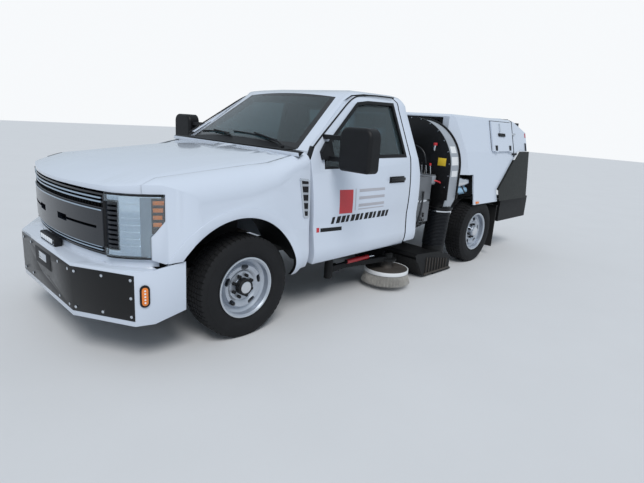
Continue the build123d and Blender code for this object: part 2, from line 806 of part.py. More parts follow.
# Grille: a bowed panel with open slats above and below a broad bar, and a column of short slots each side
# Long openings: height of the middle, how tall
grille_openings = [(1100, 12), (1076, 14), (1042, 30), (760, 12), (740, 10)]
side_slots = 9
side_slot_pitch = 31
bar_low = 776
bar_high = 1018
bar_middle = (bar_low + bar_high) / 2
grille_front = nose_prism(12, grille_bottom, grille_top)
grille_rear = nose_prism(90, grille_bottom - 5, grille_top + 5)
grille_slab = mirrored_plan([(-855, 0), (-855, radiator_half_width), (-1100, radiator_half_width), (-1100, 0)],
                            grille_bottom - 5, grille_top + 5)
bar_front = nose_prism(0, bar_low, bar_high)
bar_rear = nose_prism(40, bar_low - 5, bar_high + 5)
bar_slab = mirrored_plan([(-880, 0), (-880, 680), (-1100, 680), (-1100, 0)], bar_low - 5, bar_high + 5)
tab_half = lamp_step_y - 4
tab_front = nose_prism(14, lamp_step_low + 4, lamp_step_high - 4)
tab_rear = nose_prism(50, lamp_step_low - 5, lamp_step_high + 5)
tab_slab = mirrored_plan([(-700, 0), (-700, tab_half), (-1100, tab_half), (-1100, 0)], lamp_step_low, lamp_step_high)
foot_slab = mirrored_plan([(-radiator_behind - radiator_depth / 2 - running_gap, 0),
                           (-radiator_behind - radiator_depth / 2 - running_gap, radiator_half_width),
                           (-856, radiator_half_width), (-856, 0)], 980, 1000)
with BuildPart() as grille_bar:
    add(bar_front)
    add(bar_slab, mode=Mode.INTERSECT)
    add(bar_rear, mode=Mode.SUBTRACT)
with BuildPart() as grille_tabs:
    add(tab_front)
    add(tab_slab, mode=Mode.INTERSECT)
    add(tab_rear, mode=Mode.SUBTRACT)
with BuildPart() as grille:
    add(grille_front)
    add(grille_slab, mode=Mode.INTERSECT)
    add(grille_rear, mode=Mode.SUBTRACT)
    add(grille_bar.part)
    add(grille_tabs.part)
    for z, height in grille_openings:
        with Locations((back(-980), 0, z)):
            Box(300, 1340, height, mode=Mode.SUBTRACT)
    for side in (1, -1):
        with Locations((back(-980), side * 430, bar_middle)):
            Box(300, 380, 18, mode=Mode.SUBTRACT)
        with Locations((back(-980), side * 200, bar_middle)):
            Box(300, 140, 44, mode=Mode.SUBTRACT)
        for number in range(side_slots):
            slot_z = (lamp_step_low + lamp_step_high) / 2 + (number - (side_slots - 1) / 2) * side_slot_pitch
            with Locations((back(-890), side * 735, slot_z)):
                Box(200, 62, 14, mode=Mode.SUBTRACT)
    add(foot_slab)
save(grille.part, "grille")
with BuildPart() as radiator:
    with Locations((back(-radiator_behind), 0, 845)):
        Box(radiator_depth, 2 * radiator_half_width, 490)
save(radiator.part, "radiator")

# Headlamps: C-shaped housings at the nose's corners, with legs that reach in over and under the grille
lamp_front = nose_prism(2, lamp_bottom, lamp_top)
lamp_rear_face = [(lamp_shoulder[0], 1150), lamp_shoulder, lamp_knee, (lamp_knee[0], 700), (-1100, 700),
                  (-1100, 1150)]
lamp_slab = side_prism(lamp_rear_face, radiator_half_width + running_gap, beyond)
lamp_back = plan_prism([(-600, 0), (-600, 890), (-690, 850), (-800, 760), (-800, 0)], 500, 1200)
lamp_step = plan_prism([(-700, 600), (-700, lamp_step_y), (-1100, lamp_step_y), (-1100, 600)],
                       lamp_step_low, lamp_step_high)
with BuildPart() as headlamp:
    add(lamp_front)
    add(lamp_slab, mode=Mode.INTERSECT)
    add(lamp_back, mode=Mode.SUBTRACT)
    add(lamp_step, mode=Mode.SUBTRACT)
save_pair(headlamp.part, "headlamp")

# Front bumper: a folded steel shell with a top plate and brackets to the rails
bumper_outside = [(-1078, 0), (-1078, 534), (-846, 946), (-728, 979), (-510, 985)]
bumper_inside = [(-510, 971), (-724, 965), (-836, 934), (-1064, 526), (-1064, 0)]
bumper_shell = mirrored_plan(bumper_outside + bumper_inside, bumper_low, wing_top)
above_wing = side_prism([(-1200, bumper_top), (wing_bend, bumper_top), (-510, wing_top), (-510, 900), (-1200, 900)],
                        -beyond, beyond)
below_wing = side_prism([(wing_bend, bumper_low), (-500, wing_low), (-500, 200), (wing_bend, 200)], -beyond, beyond)
bumper_shelf = mirrored_plan([(-900, 0), (-900, 640), (-700, 850), (-700, 960), (wing_bend, 975), (-846, 946),
                              (-1078, 534), (-1078, 0)],
                             bumper_top - bumper_plate, bumper_top)
valance_front = nose_prism(30, bumper_top - 1, lamp_bottom - panel_gap)
valance_rear = nose_prism(42, bumper_top - 5, lamp_bottom)
valance_slab = mirrored_plan([(-850, 0), (-850, 660), (-660, 800), (-660, 1000), (-1100, 1000), (-1100, 0)],
                             bumper_top - 5, lamp_bottom)
bracket_front = -1064
with BuildPart() as valance:
    add(valance_front)
    add(valance_slab, mode=Mode.INTERSECT)
    add(valance_rear, mode=Mode.SUBTRACT)
with BuildPart() as front_bumper:
    add(bumper_shell)
    add(above_wing, mode=Mode.SUBTRACT)
    add(below_wing, mode=Mode.SUBTRACT)
    add(bumper_shelf)
    add(valance.part)
    for side in (1, -1):
        with Locations((back((bracket_front + rail_front) / 2), side * rail_y, rail_top - 70)):
            Box(rail_front - bracket_front, 50, 90)
save(front_bumper.part, "front_bumper")

# Dark skin over the bumper's face, with the holes of the blank plate
skin_plan = [(-front_overhang, 0), (-front_overhang, 537), (-853, 949), (-848, 943), (-1078.3, 534), (-1078.3, 0)]
skin_shell = mirrored_plan(skin_plan, skin_low, skin_top)
front_plate_plane = Plane(origin=(back(-front_overhang), 0, plate_z), x_dir=(0, 1, 0), z_dir=(1, 0, 0))
with BuildPart() as bumper_skin:
    add(skin_shell)
    with Locations(front_plate_plane):
        with GridLocations(*plate_hole_spacing, 2, 2):
            Cylinder(plate_hole_radius, 40, mode=Mode.SUBTRACT)
save(bumper_skin.part, "bumper_skin")

# Light bar on the bumper's shelf, and oval marker lamps on its wings
wing_angle = degrees(atan2(979 - 946, 846 - 728))
marker_depth = 16
with BuildPart() as front_lamps:
    with Locations((back(light_bar_behind), light_bar_y, bumper_top + running_gap + light_bar_size[2] / 2)):
        light_bar = Box(*light_bar_size)
    fillet(light_bar.edges().filter_by(Axis.Y), 12)
    for side in (1, -1):
        wing = Plane(origin=(back(-787), side * (962.5 + 1), lamp_z), x_dir=(0, 0, 1),
                     z_dir=(sin(radians(wing_angle)), side * cos(radians(wing_angle)), 0))
        with BuildSketch(wing):
            SlotOverall(150, 62)
        extrude(amount=marker_depth)
save(front_lamps.part, "front_lamps")

# Knuckles: an upright on the king pin with the wheel's spindle
spindle_end = front_track / 2 + 44
with BuildPart() as knuckle:
    with Locations((back(0), kingpin_y, wheel_z)):
        Cylinder(kingpin_radius, 180)
    with Locations(Location((back(0), (kingpin_y + spindle_end) / 2 + 10, wheel_z), (90, 0, 0))):
        Cylinder(spindle_radius, spindle_end - kingpin_y + 20)
save_pair(knuckle.part, "knuckle")

# Wheels: a pressed steel rim with a crowned disc, five hand holes and a brake drum, and its tyre
bead_half = rim_width / 2
bead_seat = bead_radius - 2
well_radius = 186
# Rim profile: radius, distance outboard of the tyre's middle
rim_outside = [(flange_radius, -bead_half), (flange_radius, -bead_half + 8), (bead_radius, -bead_half + 9),
               (bead_seat, -60), (well_radius, -45), (well_radius, 30), (bead_seat, 50),
               (bead_radius, bead_half - 9), (flange_radius, bead_half - 8), (flange_radius, bead_half)]
rim_inside = [(bead_radius + 6, bead_half), (bead_radius - rim_wall, bead_half - 10), (bead_seat - rim_wall, 50),
              (well_radius - rim_wall, 30), (well_radius - rim_wall, -45), (bead_seat - rim_wall, -60),
              (bead_radius - rim_wall, -bead_half + 10), (bead_radius + 6, -bead_half)]
bore_radius = spindle_radius + running_gap
disc_profile = [(bore_radius, 30), (bore_radius, 92), (hub_radius - 12, 92), (hub_radius, 78), (hub_radius, 44),
                (bolt_face_radius, 44), (134, 60), (160, 64), (well_radius - 4, 34), (well_radius - 4, 24),
                (156, 54), (136, 50), (bolt_face_radius, 34), (hub_radius, 34), (hub_radius, -42),
                (brake_drum_radius, -42), (brake_drum_radius, -66), (bore_radius, -66)]
tread_half = tyre_width / 2 - 42
wall_half = tyre_width / 2
tyre_profile = [(bead_radius + 0.5, -96), (bead_radius + 0.5, 96), (240, 99), (272, 115), (305, wall_half),
                (345, wall_half - 3), (tyre_radius - 18, wall_half - 14), (tyre_radius - 5, tread_half + 10),
                (tyre_radius, tread_half - 10)]
tyre_profile += [(radius, -across) for radius, across in reversed(tyre_profile[2:])]


def wheel_ring(profile, axle_x, middle_y, side):
    """A ring revolved about the axle, from (radius, distance outboard) points."""
    with BuildPart() as ring:
        with BuildSketch(Plane.YZ.offset(axle_x)):
            with BuildLine():
                Polyline(*[(side * (middle_y + across), wheel_z + radius) for radius, across in profile], close=True)
            make_face()
        revolve(axis=Axis((axle_x, 0, wheel_z), (0, 1, 0)))
    return ring.part


# Wheels: place, X of the axle, track
for place, axle_x, track in [("front", back(0), front_track), ("rear", rear_axle_x, rear_track)]:
    for hand, side in [("left", 1), ("right", -1)]:
        barrel = wheel_ring(rim_outside + rim_inside, axle_x, track / 2, side)
        disc = wheel_ring(disc_profile, axle_x, track / 2, side)
        with BuildPart() as rim:
            add(barrel)
            add(disc)
            with BuildSketch(Plane.XZ.offset(-side * (track / 2 + 70))):
                with Locations((axle_x, wheel_z)):
                    with PolarLocations(hand_hole_radius, hand_holes, start_angle=22):
                        SlotOverall(66, 34, rotation=90)
            extrude(amount=side * 40, mode=Mode.SUBTRACT)
        save(rim.part, f"rim_{place}_{hand}")
        save(wheel_ring(tyre_profile, axle_x, track / 2, side), f"tyre_{place}_{hand}")

# Hopper: hollow, with leaning sides, a chamfered front and skirts beside the wheels. Its floor is a
# piece of its own, with a raised front, a sloping rear, and the webs and sub-rails under it
hopper_reach = 5200


def hopper_section(inset):
    """The hopper's cross-section along the truck, so far inside its outer face."""
    with BuildPart() as section:
        with BuildSketch(Plane.YZ.offset(back(hopper_reach))):
            with BuildLine():
                Polyline((0, hopper_skirt_z - 10), (hopper_half_width - inset, hopper_skirt_z - 10),
                         (knuckle_half_width - inset, hopper_knuckle_z),
                         (hopper_top_half_width - inset, hopper_shoulder_z),
                         (hopper_top_half_width - 55 - inset, hopper_top_z + 10), (0, hopper_top_z + 10))
                mirror(about=Plane.YZ)
            make_face()
        extrude(amount=hopper_reach - 2600)
    return section.part


hopper_floor_edge = hopper_floor_z + 12
floor_slope = (tail_floor_z - hopper_floor_edge) / (slope_end - slope_start)
seam_floor_z = hopper_floor_edge + (hopper_seam - slope_start) * floor_slope
inner_front = hopper_front + hopper_wall
inner_floor = hopper_floor_z + hopper_wall
hopper_outline = [(hopper_front, front_floor_z), (hopper_front, hopper_top_z - 25),
                  (hopper_front + 40, hopper_top_z), (hopper_seam, hopper_top_z), (hopper_seam, seam_floor_z),
                  (slope_start, hopper_floor_edge), (hopper_step, hopper_skirt_z), (hopper_chamfer, hopper_skirt_z),
                  (hopper_chamfer, front_floor_z)]
hopper_void_outline = [(inner_front, hopper_skirt_z - 50), (inner_front, hopper_top_z - hopper_wall),
                       (hopper_seam + 13, hopper_top_z - hopper_wall), (hopper_seam + 13, hopper_skirt_z - 50)]
hopper_plan = [(hopper_front, 0), (hopper_front, hopper_nose_half_width), (hopper_chamfer, hopper_half_width + 5),
               (hopper_reach, hopper_half_width + 5), (hopper_reach, 0)]
hopper_void_plan = [(inner_front, 0), (inner_front, hopper_nose_half_width - 14),
                    (hopper_chamfer + 6, hopper_half_width - 15), (hopper_reach, hopper_half_width - 15),
                    (hopper_reach, 0)]
hopper_blank = side_prism(hopper_outline, -beyond, beyond)
hopper_plan_prism = mirrored_plan(hopper_plan, 500, 2000)
hopper_void_blank = side_prism(hopper_void_outline, -beyond, beyond)
hopper_void_prism = mirrored_plan(hopper_void_plan, 500, 2000)
outer_section = hopper_section(0)
inner_section = hopper_section(hopper_wall)
skirt_section = hopper_section(15)
wheel_bay_blank = side_prism([(3300, 700), (3300, hopper_floor_z), (4100, hopper_floor_z), (4100, 700)],
                             -beyond, beyond)
web_outline = [(hopper_chamfer + 5, 708), (hopper_chamfer + 5, hopper_floor_z + 5), (3990, hopper_floor_z + 25),
               (4490, seam_floor_z + 10), (4600, seam_floor_z - 60), (4600, 708)]
webs = both_sides(side_prism(web_outline, subrail_y - 5, subrail_y + 5))
floor_outline = [(inner_front, front_floor_z), (hopper_chamfer, front_floor_z), (hopper_chamfer, hopper_floor_z),
                 (slope_start, hopper_floor_z), (slope_start, hopper_floor_edge), (hopper_seam, seam_floor_z),
                 (hopper_seam, seam_floor_z + 23), (slope_start - 22, inner_floor),
                 (hopper_chamfer + hopper_wall, inner_floor),
                 (hopper_chamfer + hopper_wall, front_floor_z + hopper_wall),
                 (inner_front, front_floor_z + hopper_wall)]
floor_blank = side_prism(floor_outline, -beyond, beyond)
floor_section = hopper_section(hopper_wall + running_gap)
floor_plan = mirrored_plan([(inner_front + running_gap, 0), (inner_front + running_gap, hopper_nose_half_width - 15),
                            (hopper_chamfer + 6, hopper_half_width - 16), (hopper_reach, hopper_half_width - 16),
                            (hopper_reach, 0)], 500, 2000)
with BuildPart() as hopper_void:
    add(hopper_void_blank)
    add(inner_section, mode=Mode.INTERSECT)
    add(hopper_void_prism, mode=Mode.INTERSECT)
with BuildPart() as wheel_bay:
    add(wheel_bay_blank)
    add(skirt_section, mode=Mode.INTERSECT)
ear_top = hopper_floor_z + 5
ear_bottom = eye_z - 30
with BuildPart() as hopper:
    add(hopper_blank)
    add(outer_section, mode=Mode.INTERSECT)
    add(hopper_plan_prism, mode=Mode.INTERSECT)
    add(hopper_void.part, mode=Mode.SUBTRACT)
    add(wheel_bay.part, mode=Mode.SUBTRACT)
    with Locations((back(doorway_behind), 850, doorway_z)):
        Box(doorway_width, 300, doorway_height, mode=Mode.SUBTRACT)
    with Locations((back(hopper_front), 0, vent_z)):
        Box(120, vent_width, vent_height, mode=Mode.SUBTRACT)
save(hopper.part, "hopper")
with BuildPart() as hopper_floor:
    add(floor_blank)
    add(floor_section, mode=Mode.INTERSECT)
    add(floor_plan, mode=Mode.INTERSECT)
    add(webs)
    for side in (1, -1):
        with Locations((back((hopper_chamfer + 5 + 4600) / 2), side * subrail_y, subrail_z)):
            Box(4600 - hopper_chamfer - 5, subrail_width, subrail_height)
        with Locations((back(eye_behind), lift_y + side * 40, (ear_top + ear_bottom) / 2)):
            Box(70, 16, ear_top - ear_bottom)
    for side in (1, -1):
        with Locations(Location((back(pivot_behind), side * subrail_y, pivot_z), (90, 0, 0))):
            Cylinder(pin_radius + running_gap, 2 * subrail_width, mode=Mode.SUBTRACT)
save(hopper_floor.part, "hopper_floor")

# Vent screen: a framed grid of slots in the hopper's front
vent_slots = 9
with BuildPart() as vent:
    with Locations((back(inner_front - 6), 0, vent_z)):
        Box(12, vent_width - 2 * running_gap, vent_height - 2 * running_gap)
        with GridLocations(1, (vent_width - 60) / vent_slots, 1, vent_slots):
            Box(40, (vent_width - 60) / vent_slots - 30, vent_height - 60, mode=Mode.SUBTRACT)
save(vent.part, "hopper_screen")

# Access door on the left side, hinged at its lower edge on the knuckle
door_half = doorway_width / 2 + access_door_lap
access_blank = side_prism([(doorway_behind - door_half, hopper_knuckle_z + 8),
                           (doorway_behind - door_half, doorway_z + doorway_height / 2 + 40),
                           (doorway_behind + door_half, doorway_z + doorway_height / 2 + 40),
                           (doorway_behind + door_half, hopper_knuckle_z + 8)], 500, beyond)
access_skin = hopper_section(-access_door_thickness)
access_seat = hopper_section(-running_gap)
with BuildPart() as access_door:
    add(access_blank)
    add(access_skin, mode=Mode.INTERSECT)
    add(access_seat, mode=Mode.SUBTRACT)
    for behind in (doorway_behind - 200, doorway_behind + 200):
        with Locations(Location((back(behind), access_hinge_y, access_hinge_z), (0, 90, 0))):
            Cylinder(access_hinge_radius, 70)
save(access_door.part, "access_door")

# Tailgate: the hopper's rear end as one hollow door, with its hinge barrels on top
tail_outline = [(hopper_seam + panel_gap, hopper_top_z), (hopper_tail, tail_step_z), (hopper_tail, tail_floor_z - 1),
                (slope_end, tail_floor_z - 1), (hopper_seam + panel_gap, seam_floor_z + 4)]
tail_void_outline = [(hopper_seam - 20, hopper_top_z - hopper_wall), (hopper_seam + 63, hopper_top_z - hopper_wall - 20),
                     (hopper_tail - hopper_wall, tail_step_z - 14),
                     (hopper_tail - hopper_wall, tail_floor_z - 1 + hopper_wall),
                     (slope_end - 8, tail_floor_z - 1 + hopper_wall), (hopper_seam - 20, seam_floor_z + 10)]
tail_blank = side_prism(tail_outline, -beyond, beyond)
tail_void_blank = side_prism(tail_void_outline, -beyond, beyond)
with BuildPart() as tail_void:
    add(tail_void_blank)
    add(inner_section, mode=Mode.INTERSECT)
with BuildPart() as tailgate:
    add(tail_blank)
    add(outer_section, mode=Mode.INTERSECT)
    add(tail_void.part, mode=Mode.SUBTRACT)
    for side in (1, -1):
        with Locations(Location((back(tail_hinge_behind), side * tail_hinge_y, tail_hinge_z), (90, 0, 0))):
            Cylinder(6.7, 180)
        with Locations((back(tail_hinge_behind + 16), side * tail_hinge_y, tail_hinge_z - 6)):
            Box(26, 180, 12)
save(tailgate.part, "tailgate")

# Lift cylinder: barrel on the frame's pin, rod to the hopper's ears
lift_run = eye_behind - lift_base_behind
lift_rise = eye_z - lift_base_z
lift_length = hypot(lift_run, lift_rise)
lift_plane = Plane(origin=(back(lift_base_behind), lift_y, lift_base_z), x_dir=(0, 1, 0),
                   z_dir=(-lift_run / lift_length, 0, lift_rise / lift_length))
with BuildPart() as lift_barrel:
    with BuildSketch(lift_plane.offset(20)):
        Circle(barrel_radius)
    extrude(amount=1010)
    with BuildSketch(lift_plane.offset(120)):
        Circle(rod_radius + running_gap)
    extrude(amount=1000, mode=Mode.SUBTRACT)
    with Locations(Location((back(lift_base_behind), lift_y, lift_base_z), (90, 0, 0))):
        Cylinder(40, 90)
        Cylinder(pin_radius + running_gap, 100, mode=Mode.SUBTRACT)
save(lift_barrel.part, "lift_barrel")
with BuildPart() as lift_rod:
    with BuildSketch(lift_plane.offset(170)):
        Circle(rod_radius)
    extrude(amount=lift_length - 190)
    with Locations(Location((back(eye_behind), lift_y, eye_z), (90, 0, 0))):
        Cylinder(32, 62)
save(lift_rod.part, "lift_rod")

# Blower: a volute of four tangent arcs between two flanged plates, with a tapered outlet on the left
arc_radii = [volute_radius - number * volute_step for number in range(4)]
# Centres of the four quarters: distance left, height
centres = [(blower_y, blower_z), (blower_y, blower_z + volute_step),
           (blower_y - volute_step, blower_z + volute_step), (blower_y - volute_step, blower_z)]
tongue_y = centres[3][0] + arc_radii[3] * cos(radians(45))
tongue_z = centres[3][1] - arc_radii[3] * sin(radians(45))
outlet_z = tongue_z - 15


def arc_points(centre, radius, angles):
    """Points of an arc, from angles in degrees."""
    return [(centre[0] + radius * cos(radians(a)), centre[1] + radius * sin(radians(a))) for a in angles]


def volute(grow, behind, depth):
    """The volute's outline, grown outwards, as a slab."""
    with BuildPart() as slab:
        with BuildSketch(Plane.YZ.offset(back(behind + depth))):
            with BuildLine():
                for centre, radius, start in zip(centres[:3], arc_radii, (0, 90, 180)):
                    ThreePointArc(*arc_points(centre, radius + grow, (start, start + 45, start + 90)))
                last = arc_points(centres[3], arc_radii[3] + grow, (270, 292, 315))
                ThreePointArc(*last)
                left = blower_y + volute_radius + grow
                Polyline(last[2], (last[2][0], outlet_z), (left, outlet_z), (left, blower_z))
            make_face()
        extrude(amount=depth)
    return slab.part


scroll = volute(0, blower_front, blower_depth)
front_plate = volute(volute_flange, blower_front, flange_plate)
rear_plate = volute(volute_flange, blower_front + blower_depth - flange_plate, flange_plate)
outlet_collar = 16
with BuildPart() as blower:
    add(scroll)
    add(front_plate)
    add(rear_plate)
    with BuildSketch(Plane.XY.offset(outlet_z)):
        with Locations((back(blower_front + blower_depth / 2), (tongue_y + blower_y + volute_radius) / 2)):
            Rectangle(blower_depth, blower_y + volute_radius - tongue_y)
    with BuildSketch(Plane.XY.offset(hose_top_z + outlet_collar)):
        with Locations((back(hose_behind), hose_top_y)):
            Circle(hose_radius - 12)
    loft()
    with Locations((back(hose_behind), hose_top_y, hose_top_z + outlet_collar / 2)):
        Cylinder(hose_radius + 14, outlet_collar)
    with Locations(Location((back(blower_front - 40), centres[3][0], centres[1][1]), (0, 90, 0))):
        Cylinder(62, 80)
    with Locations(Location((back(blower_front - 8), centres[3][0], centres[1][1]), (0, 90, 0))):
        Cylinder(150, 16)
    with Locations(Location((back(blower_front + blower_depth + 51), centres[3][0], centres[1][1]), (0, 90, 0))):
        Cylinder(100, 102)
    with Locations((back(blower_front + blower_depth / 2), rail_y, rail_top + 90)):
        Box(blower_depth - 20, 50, 180)
save(blower.part, "blower_housing")

# Intake duct on the right, from the suction hose to the hopper's front
duct_low = 1150
duct_high = 1510
duct_gap = 8
with BuildPart() as intake:
    with Locations((back(hose_behind), intake_y, (hose_top_z + duct_low + 10) / 2)):
        Cylinder(hose_radius, duct_low + 10 - hose_top_z)
    with Locations((back((hose_behind - hose_radius + hopper_front - duct_gap) / 2), -665, (duct_low + duct_high) / 2)):
        elbow = Box(hopper_front - duct_gap - hose_behind + hose_radius, 430, duct_high - duct_low)
    chamfer(elbow.edges().filter_by(Axis.Y).group_by(Axis.Z)[-1].sort_by(Axis.X)[-1], 90)
    with Locations((back(hose_behind), -rail_y, (rail_top + duct_low + 10) / 2)):
        Box(60, 50, duct_low + 10 - rail_top)
    with Locations((back(hose_behind), -rail_y - 90, duct_low - 20)):
        Box(60, 200, 60)
save(intake.part, "intake_duct")


# Hoses: rubber hoses with raised rings, between the head's ports and the ducts, cut level at both ends
hose_low = head_port_z + running_gap
hose_high = hose_top_z - running_gap
hose_level = plan_prism([(2300, -beyond), (2300, beyond), (3200, beyond), (3200, -beyond)], hose_low, hose_high)


def ribbed_hose(foot_behind, foot_y, top_behind, top_y):
    """A straight hose with raised rings, from its foot to its top."""
    foot = Vector(back(foot_behind), foot_y, hose_low)
    run = Vector(back(top_behind), top_y, hose_high) - foot
    across = run.cross(Vector(1, 0, 0)).normalized()
    pitch = run.length / hose_rings
    points = [(hose_radius - 26, -pitch), (hose_radius - 26, run.length + pitch)]
    for number in reversed(range(-1, hose_rings + 1)):
        base = pitch * number
        points += [(hose_radius - 10, base + pitch), (hose_radius, base + 0.7 * pitch), (hose_radius, base + 0.3 * pitch)]
    points += [(hose_radius - 10, -pitch)]
    with BuildPart() as hose:
        with BuildSketch(Plane(origin=foot, x_dir=across, z_dir=across.cross(run))):
            with BuildLine():
                Polyline(*points, close=True)
            make_face()
        revolve(axis=Axis(foot, run))
        add(hose_level, mode=Mode.INTERSECT)
    return hose.part


save(ribbed_hose(port_behind, port_y, hose_behind, hose_top_y), "pressure_hose")
save(ribbed_hose(hose_behind, intake_y, hose_behind, intake_y), "suction_hose")

# Pickup head: an open-bottomed box with a sloping top, two ports, guide sleeves and skids
head_knee = 2700
head_top_knee = 272
head_brow_z = head_top_front - 15
toe_slope = (head_toe - head_front) / (head_brow_z - head_bottom)
head_outline = [(head_toe, head_bottom), (head_front, head_brow_z), (head_front + 40, head_top_front),
                (head_knee, head_top_knee), (head_rear, head_top_rear), (head_rear, head_bottom)]
head_void_outline = [(head_toe + 1.3 * head_wall + head_bottom * toe_slope, 0),
                     (head_front + 1.3 * head_wall, head_brow_z - 4),
                     (head_front + 44, head_top_front - head_wall), (head_knee, head_top_knee - head_wall),
                     (head_rear - head_wall, head_top_rear - 8), (head_rear - head_wall, 0)]
head_ports = [(port_behind, port_y), (hose_behind, intake_y)]
head_shell = side_prism(head_outline, -head_half_width, head_half_width)
head_void = side_prism(head_void_outline, -head_half_width + head_wall, head_half_width - head_wall)
lip_low = (head_front + (head_brow_z - 205) * toe_slope, 205)
lip_high = (head_front + (head_brow_z - 245) * toe_slope, 245)
front_lip = side_prism([(lip_low[0] - 12, lip_low[1]), (lip_high[0] - 12, lip_high[1]), (lip_high[0] + 2, lip_high[1]),
                        (lip_low[0] + 2, lip_low[1])], -head_half_width, head_half_width)
with BuildPart() as head:
    add(head_shell)
    for behind, y in head_ports:
        with Locations((back(behind), y, head_port_z / 2 + 120)):
            Cylinder(hose_radius - 8, head_port_z - 240)
    for behind in guide_rods:
        for side in (1, -1):
            with Locations((back(behind), side * rail_y, 290)):
                Cylinder(2 * guide_rod_radius, 100)
    add(head_void, mode=Mode.SUBTRACT)
    add(front_lip)
    for behind, y in head_ports:
        with Locations((back(behind), y, 290)):
            Cylinder(hose_radius - 24, 90, mode=Mode.SUBTRACT)
    for behind in guide_rods:
        for side in (1, -1):
            with Locations((back(behind), side * rail_y, 290)):
                Cylinder(guide_rod_radius + 2 * running_gap, 140, mode=Mode.SUBTRACT)
    for side in (1, -1):
        with Locations((back(2830), side * (head_half_width - skid_width / 2), head_bottom - 9)):
            Box(380, skid_width, 18)
save(head.part, "pickup_head")

# Side broom: swing bracket under the outrigger, arm with its cylinder and motor, and the brush
bracket_top = outrigger_bottom - running_gap
bracket_end = arm_pin_behind + 25
with BuildPart() as bracket:
    with Locations((back(swing_behind), swing_y, (bracket_top + 215) / 2)):
        Cylinder(40, bracket_top - 215)
    with Locations((back(swing_behind), swing_y, bracket_top + 18)):
        Cylinder(pin_radius, 40)
    for side in (1, -1):
        with Locations((back((swing_behind + bracket_end) / 2), swing_y + side * 24, arm_pin_z)):
            Box(bracket_end - swing_behind, 12, 60)
    with Locations(Location((back(arm_pin_behind), swing_y, arm_pin_z), (90, 0, 0))):
        Cylinder(arm_pin_radius, 60)
save(bracket.part, "broom_bracket")
arm_half_height = 24
arm_end_half = 16
arm_plan = [(arm_pin_behind - 25, swing_y - arm_end_half), (arm_pin_behind - 25, swing_y + arm_end_half),
            (bracket_end + 10, swing_y + arm_end_half), (bracket_end + 100, swing_y + 20),
            (broom_behind, broom_y + 40), (broom_behind, broom_y - 30), (bracket_end + 100, swing_y - 20),
            (bracket_end + 10, swing_y - arm_end_half)]
arm_bar = plan_prism(arm_plan, arm_pin_z - arm_half_height, arm_pin_z + arm_half_height)
with BuildPart() as arm:
    add(arm_bar)
    with Locations((back(broom_behind), broom_y, arm_pin_z - arm_half_height / 2)):
        Cylinder(95, arm_half_height)
    with Locations((back(broom_behind), broom_y, arm_pin_z + 15)):
        Cylinder(52, 60)
    with Locations(Location((back(1450), swing_y + 34, arm_pin_z + 44), (0, 90, 0))):
        Cylinder(21, 330)
    with Locations(Location((back(arm_pin_behind), swing_y, arm_pin_z), (90, 0, 0))):
        Cylinder(arm_pin_radius + running_gap, 120, mode=Mode.SUBTRACT)
save(arm.part, "broom_arm")
plate_top = arm_pin_z - arm_half_height - running_gap
with BuildPart() as broom:
    with BuildSketch(Plane.XZ.offset(-broom_y)):
        with BuildLine():
            ring_low = broom_disc_z - 22
            outline = [(0, plate_top), (45, plate_top), (60, broom_disc_z + 2), (broom_ring_radius, broom_disc_z),
                       (broom_ring_radius, ring_low)]
            Polyline(*[(back(broom_behind) + radius, z) for radius, z in outline])
            ThreePointArc((back(broom_behind) + broom_ring_radius, ring_low),
                          (back(broom_behind) + broom_radius - 13, (ring_low + broom_low) / 2 - 4),
                          (back(broom_behind) + broom_radius, broom_low))
            under = [(broom_radius, broom_low), (150, broom_low), (110, broom_disc_z - 30), (0, broom_disc_z - 30),
                     (0, plate_top)]
            Polyline(*[(back(broom_behind) + radius, z) for radius, z in under])
        make_face()
    revolve(axis=Axis((back(broom_behind), broom_y, 0), (0, 0, 1)))
save(broom.part, "broom")

# Rear bumper with its side boxes, tail lamps and mud flaps
rear_plate_plane = Plane(origin=(back(bumper_rear), 0, rear_plate_z), x_dir=(0, 1, 0), z_dir=(-1, 0, 0))
side_box_y = bumper_half_width - side_box_width / 2
with BuildPart() as rear_bumper:
    with Locations((back((bumper_face + bumper_rear) / 2), 0, rear_plate_z)):
        Box(bumper_rear - bumper_face, 2 * bumper_half_width, 240)
    for side in (1, -1):
        with Locations((back((side_box_front + bumper_rear) / 2), side * side_box_y, (side_box_top + 460) / 2)):
            Box(bumper_rear - side_box_front, side_box_width, side_box_top - 460)
    with Locations(rear_plate_plane):
        with GridLocations(*plate_hole_spacing, 2, 2):
            Cylinder(plate_hole_radius, 60, mode=Mode.SUBTRACT)
save(rear_bumper.part, "rear_bumper")
lamp_depth = wheelbase + rear_overhang - bumper_rear
with BuildPart() as tail_lamps:
    for side in (1, -1):
        with Locations((back(bumper_rear + lamp_depth / 2), side * 830, 590)):
            Box(lamp_depth, 180, 90)
save(tail_lamps.part, "tail_lamps")
flap_top = 675 - 15 - running_gap
with BuildPart() as mudflaps:
    for side in (1, -1):
        with Locations((back(flap_behind), side * 825, (flap_low + flap_top) / 2)):
            Box(10, flap_width, flap_top - flap_low)
save(mudflaps.part, "mudflaps")

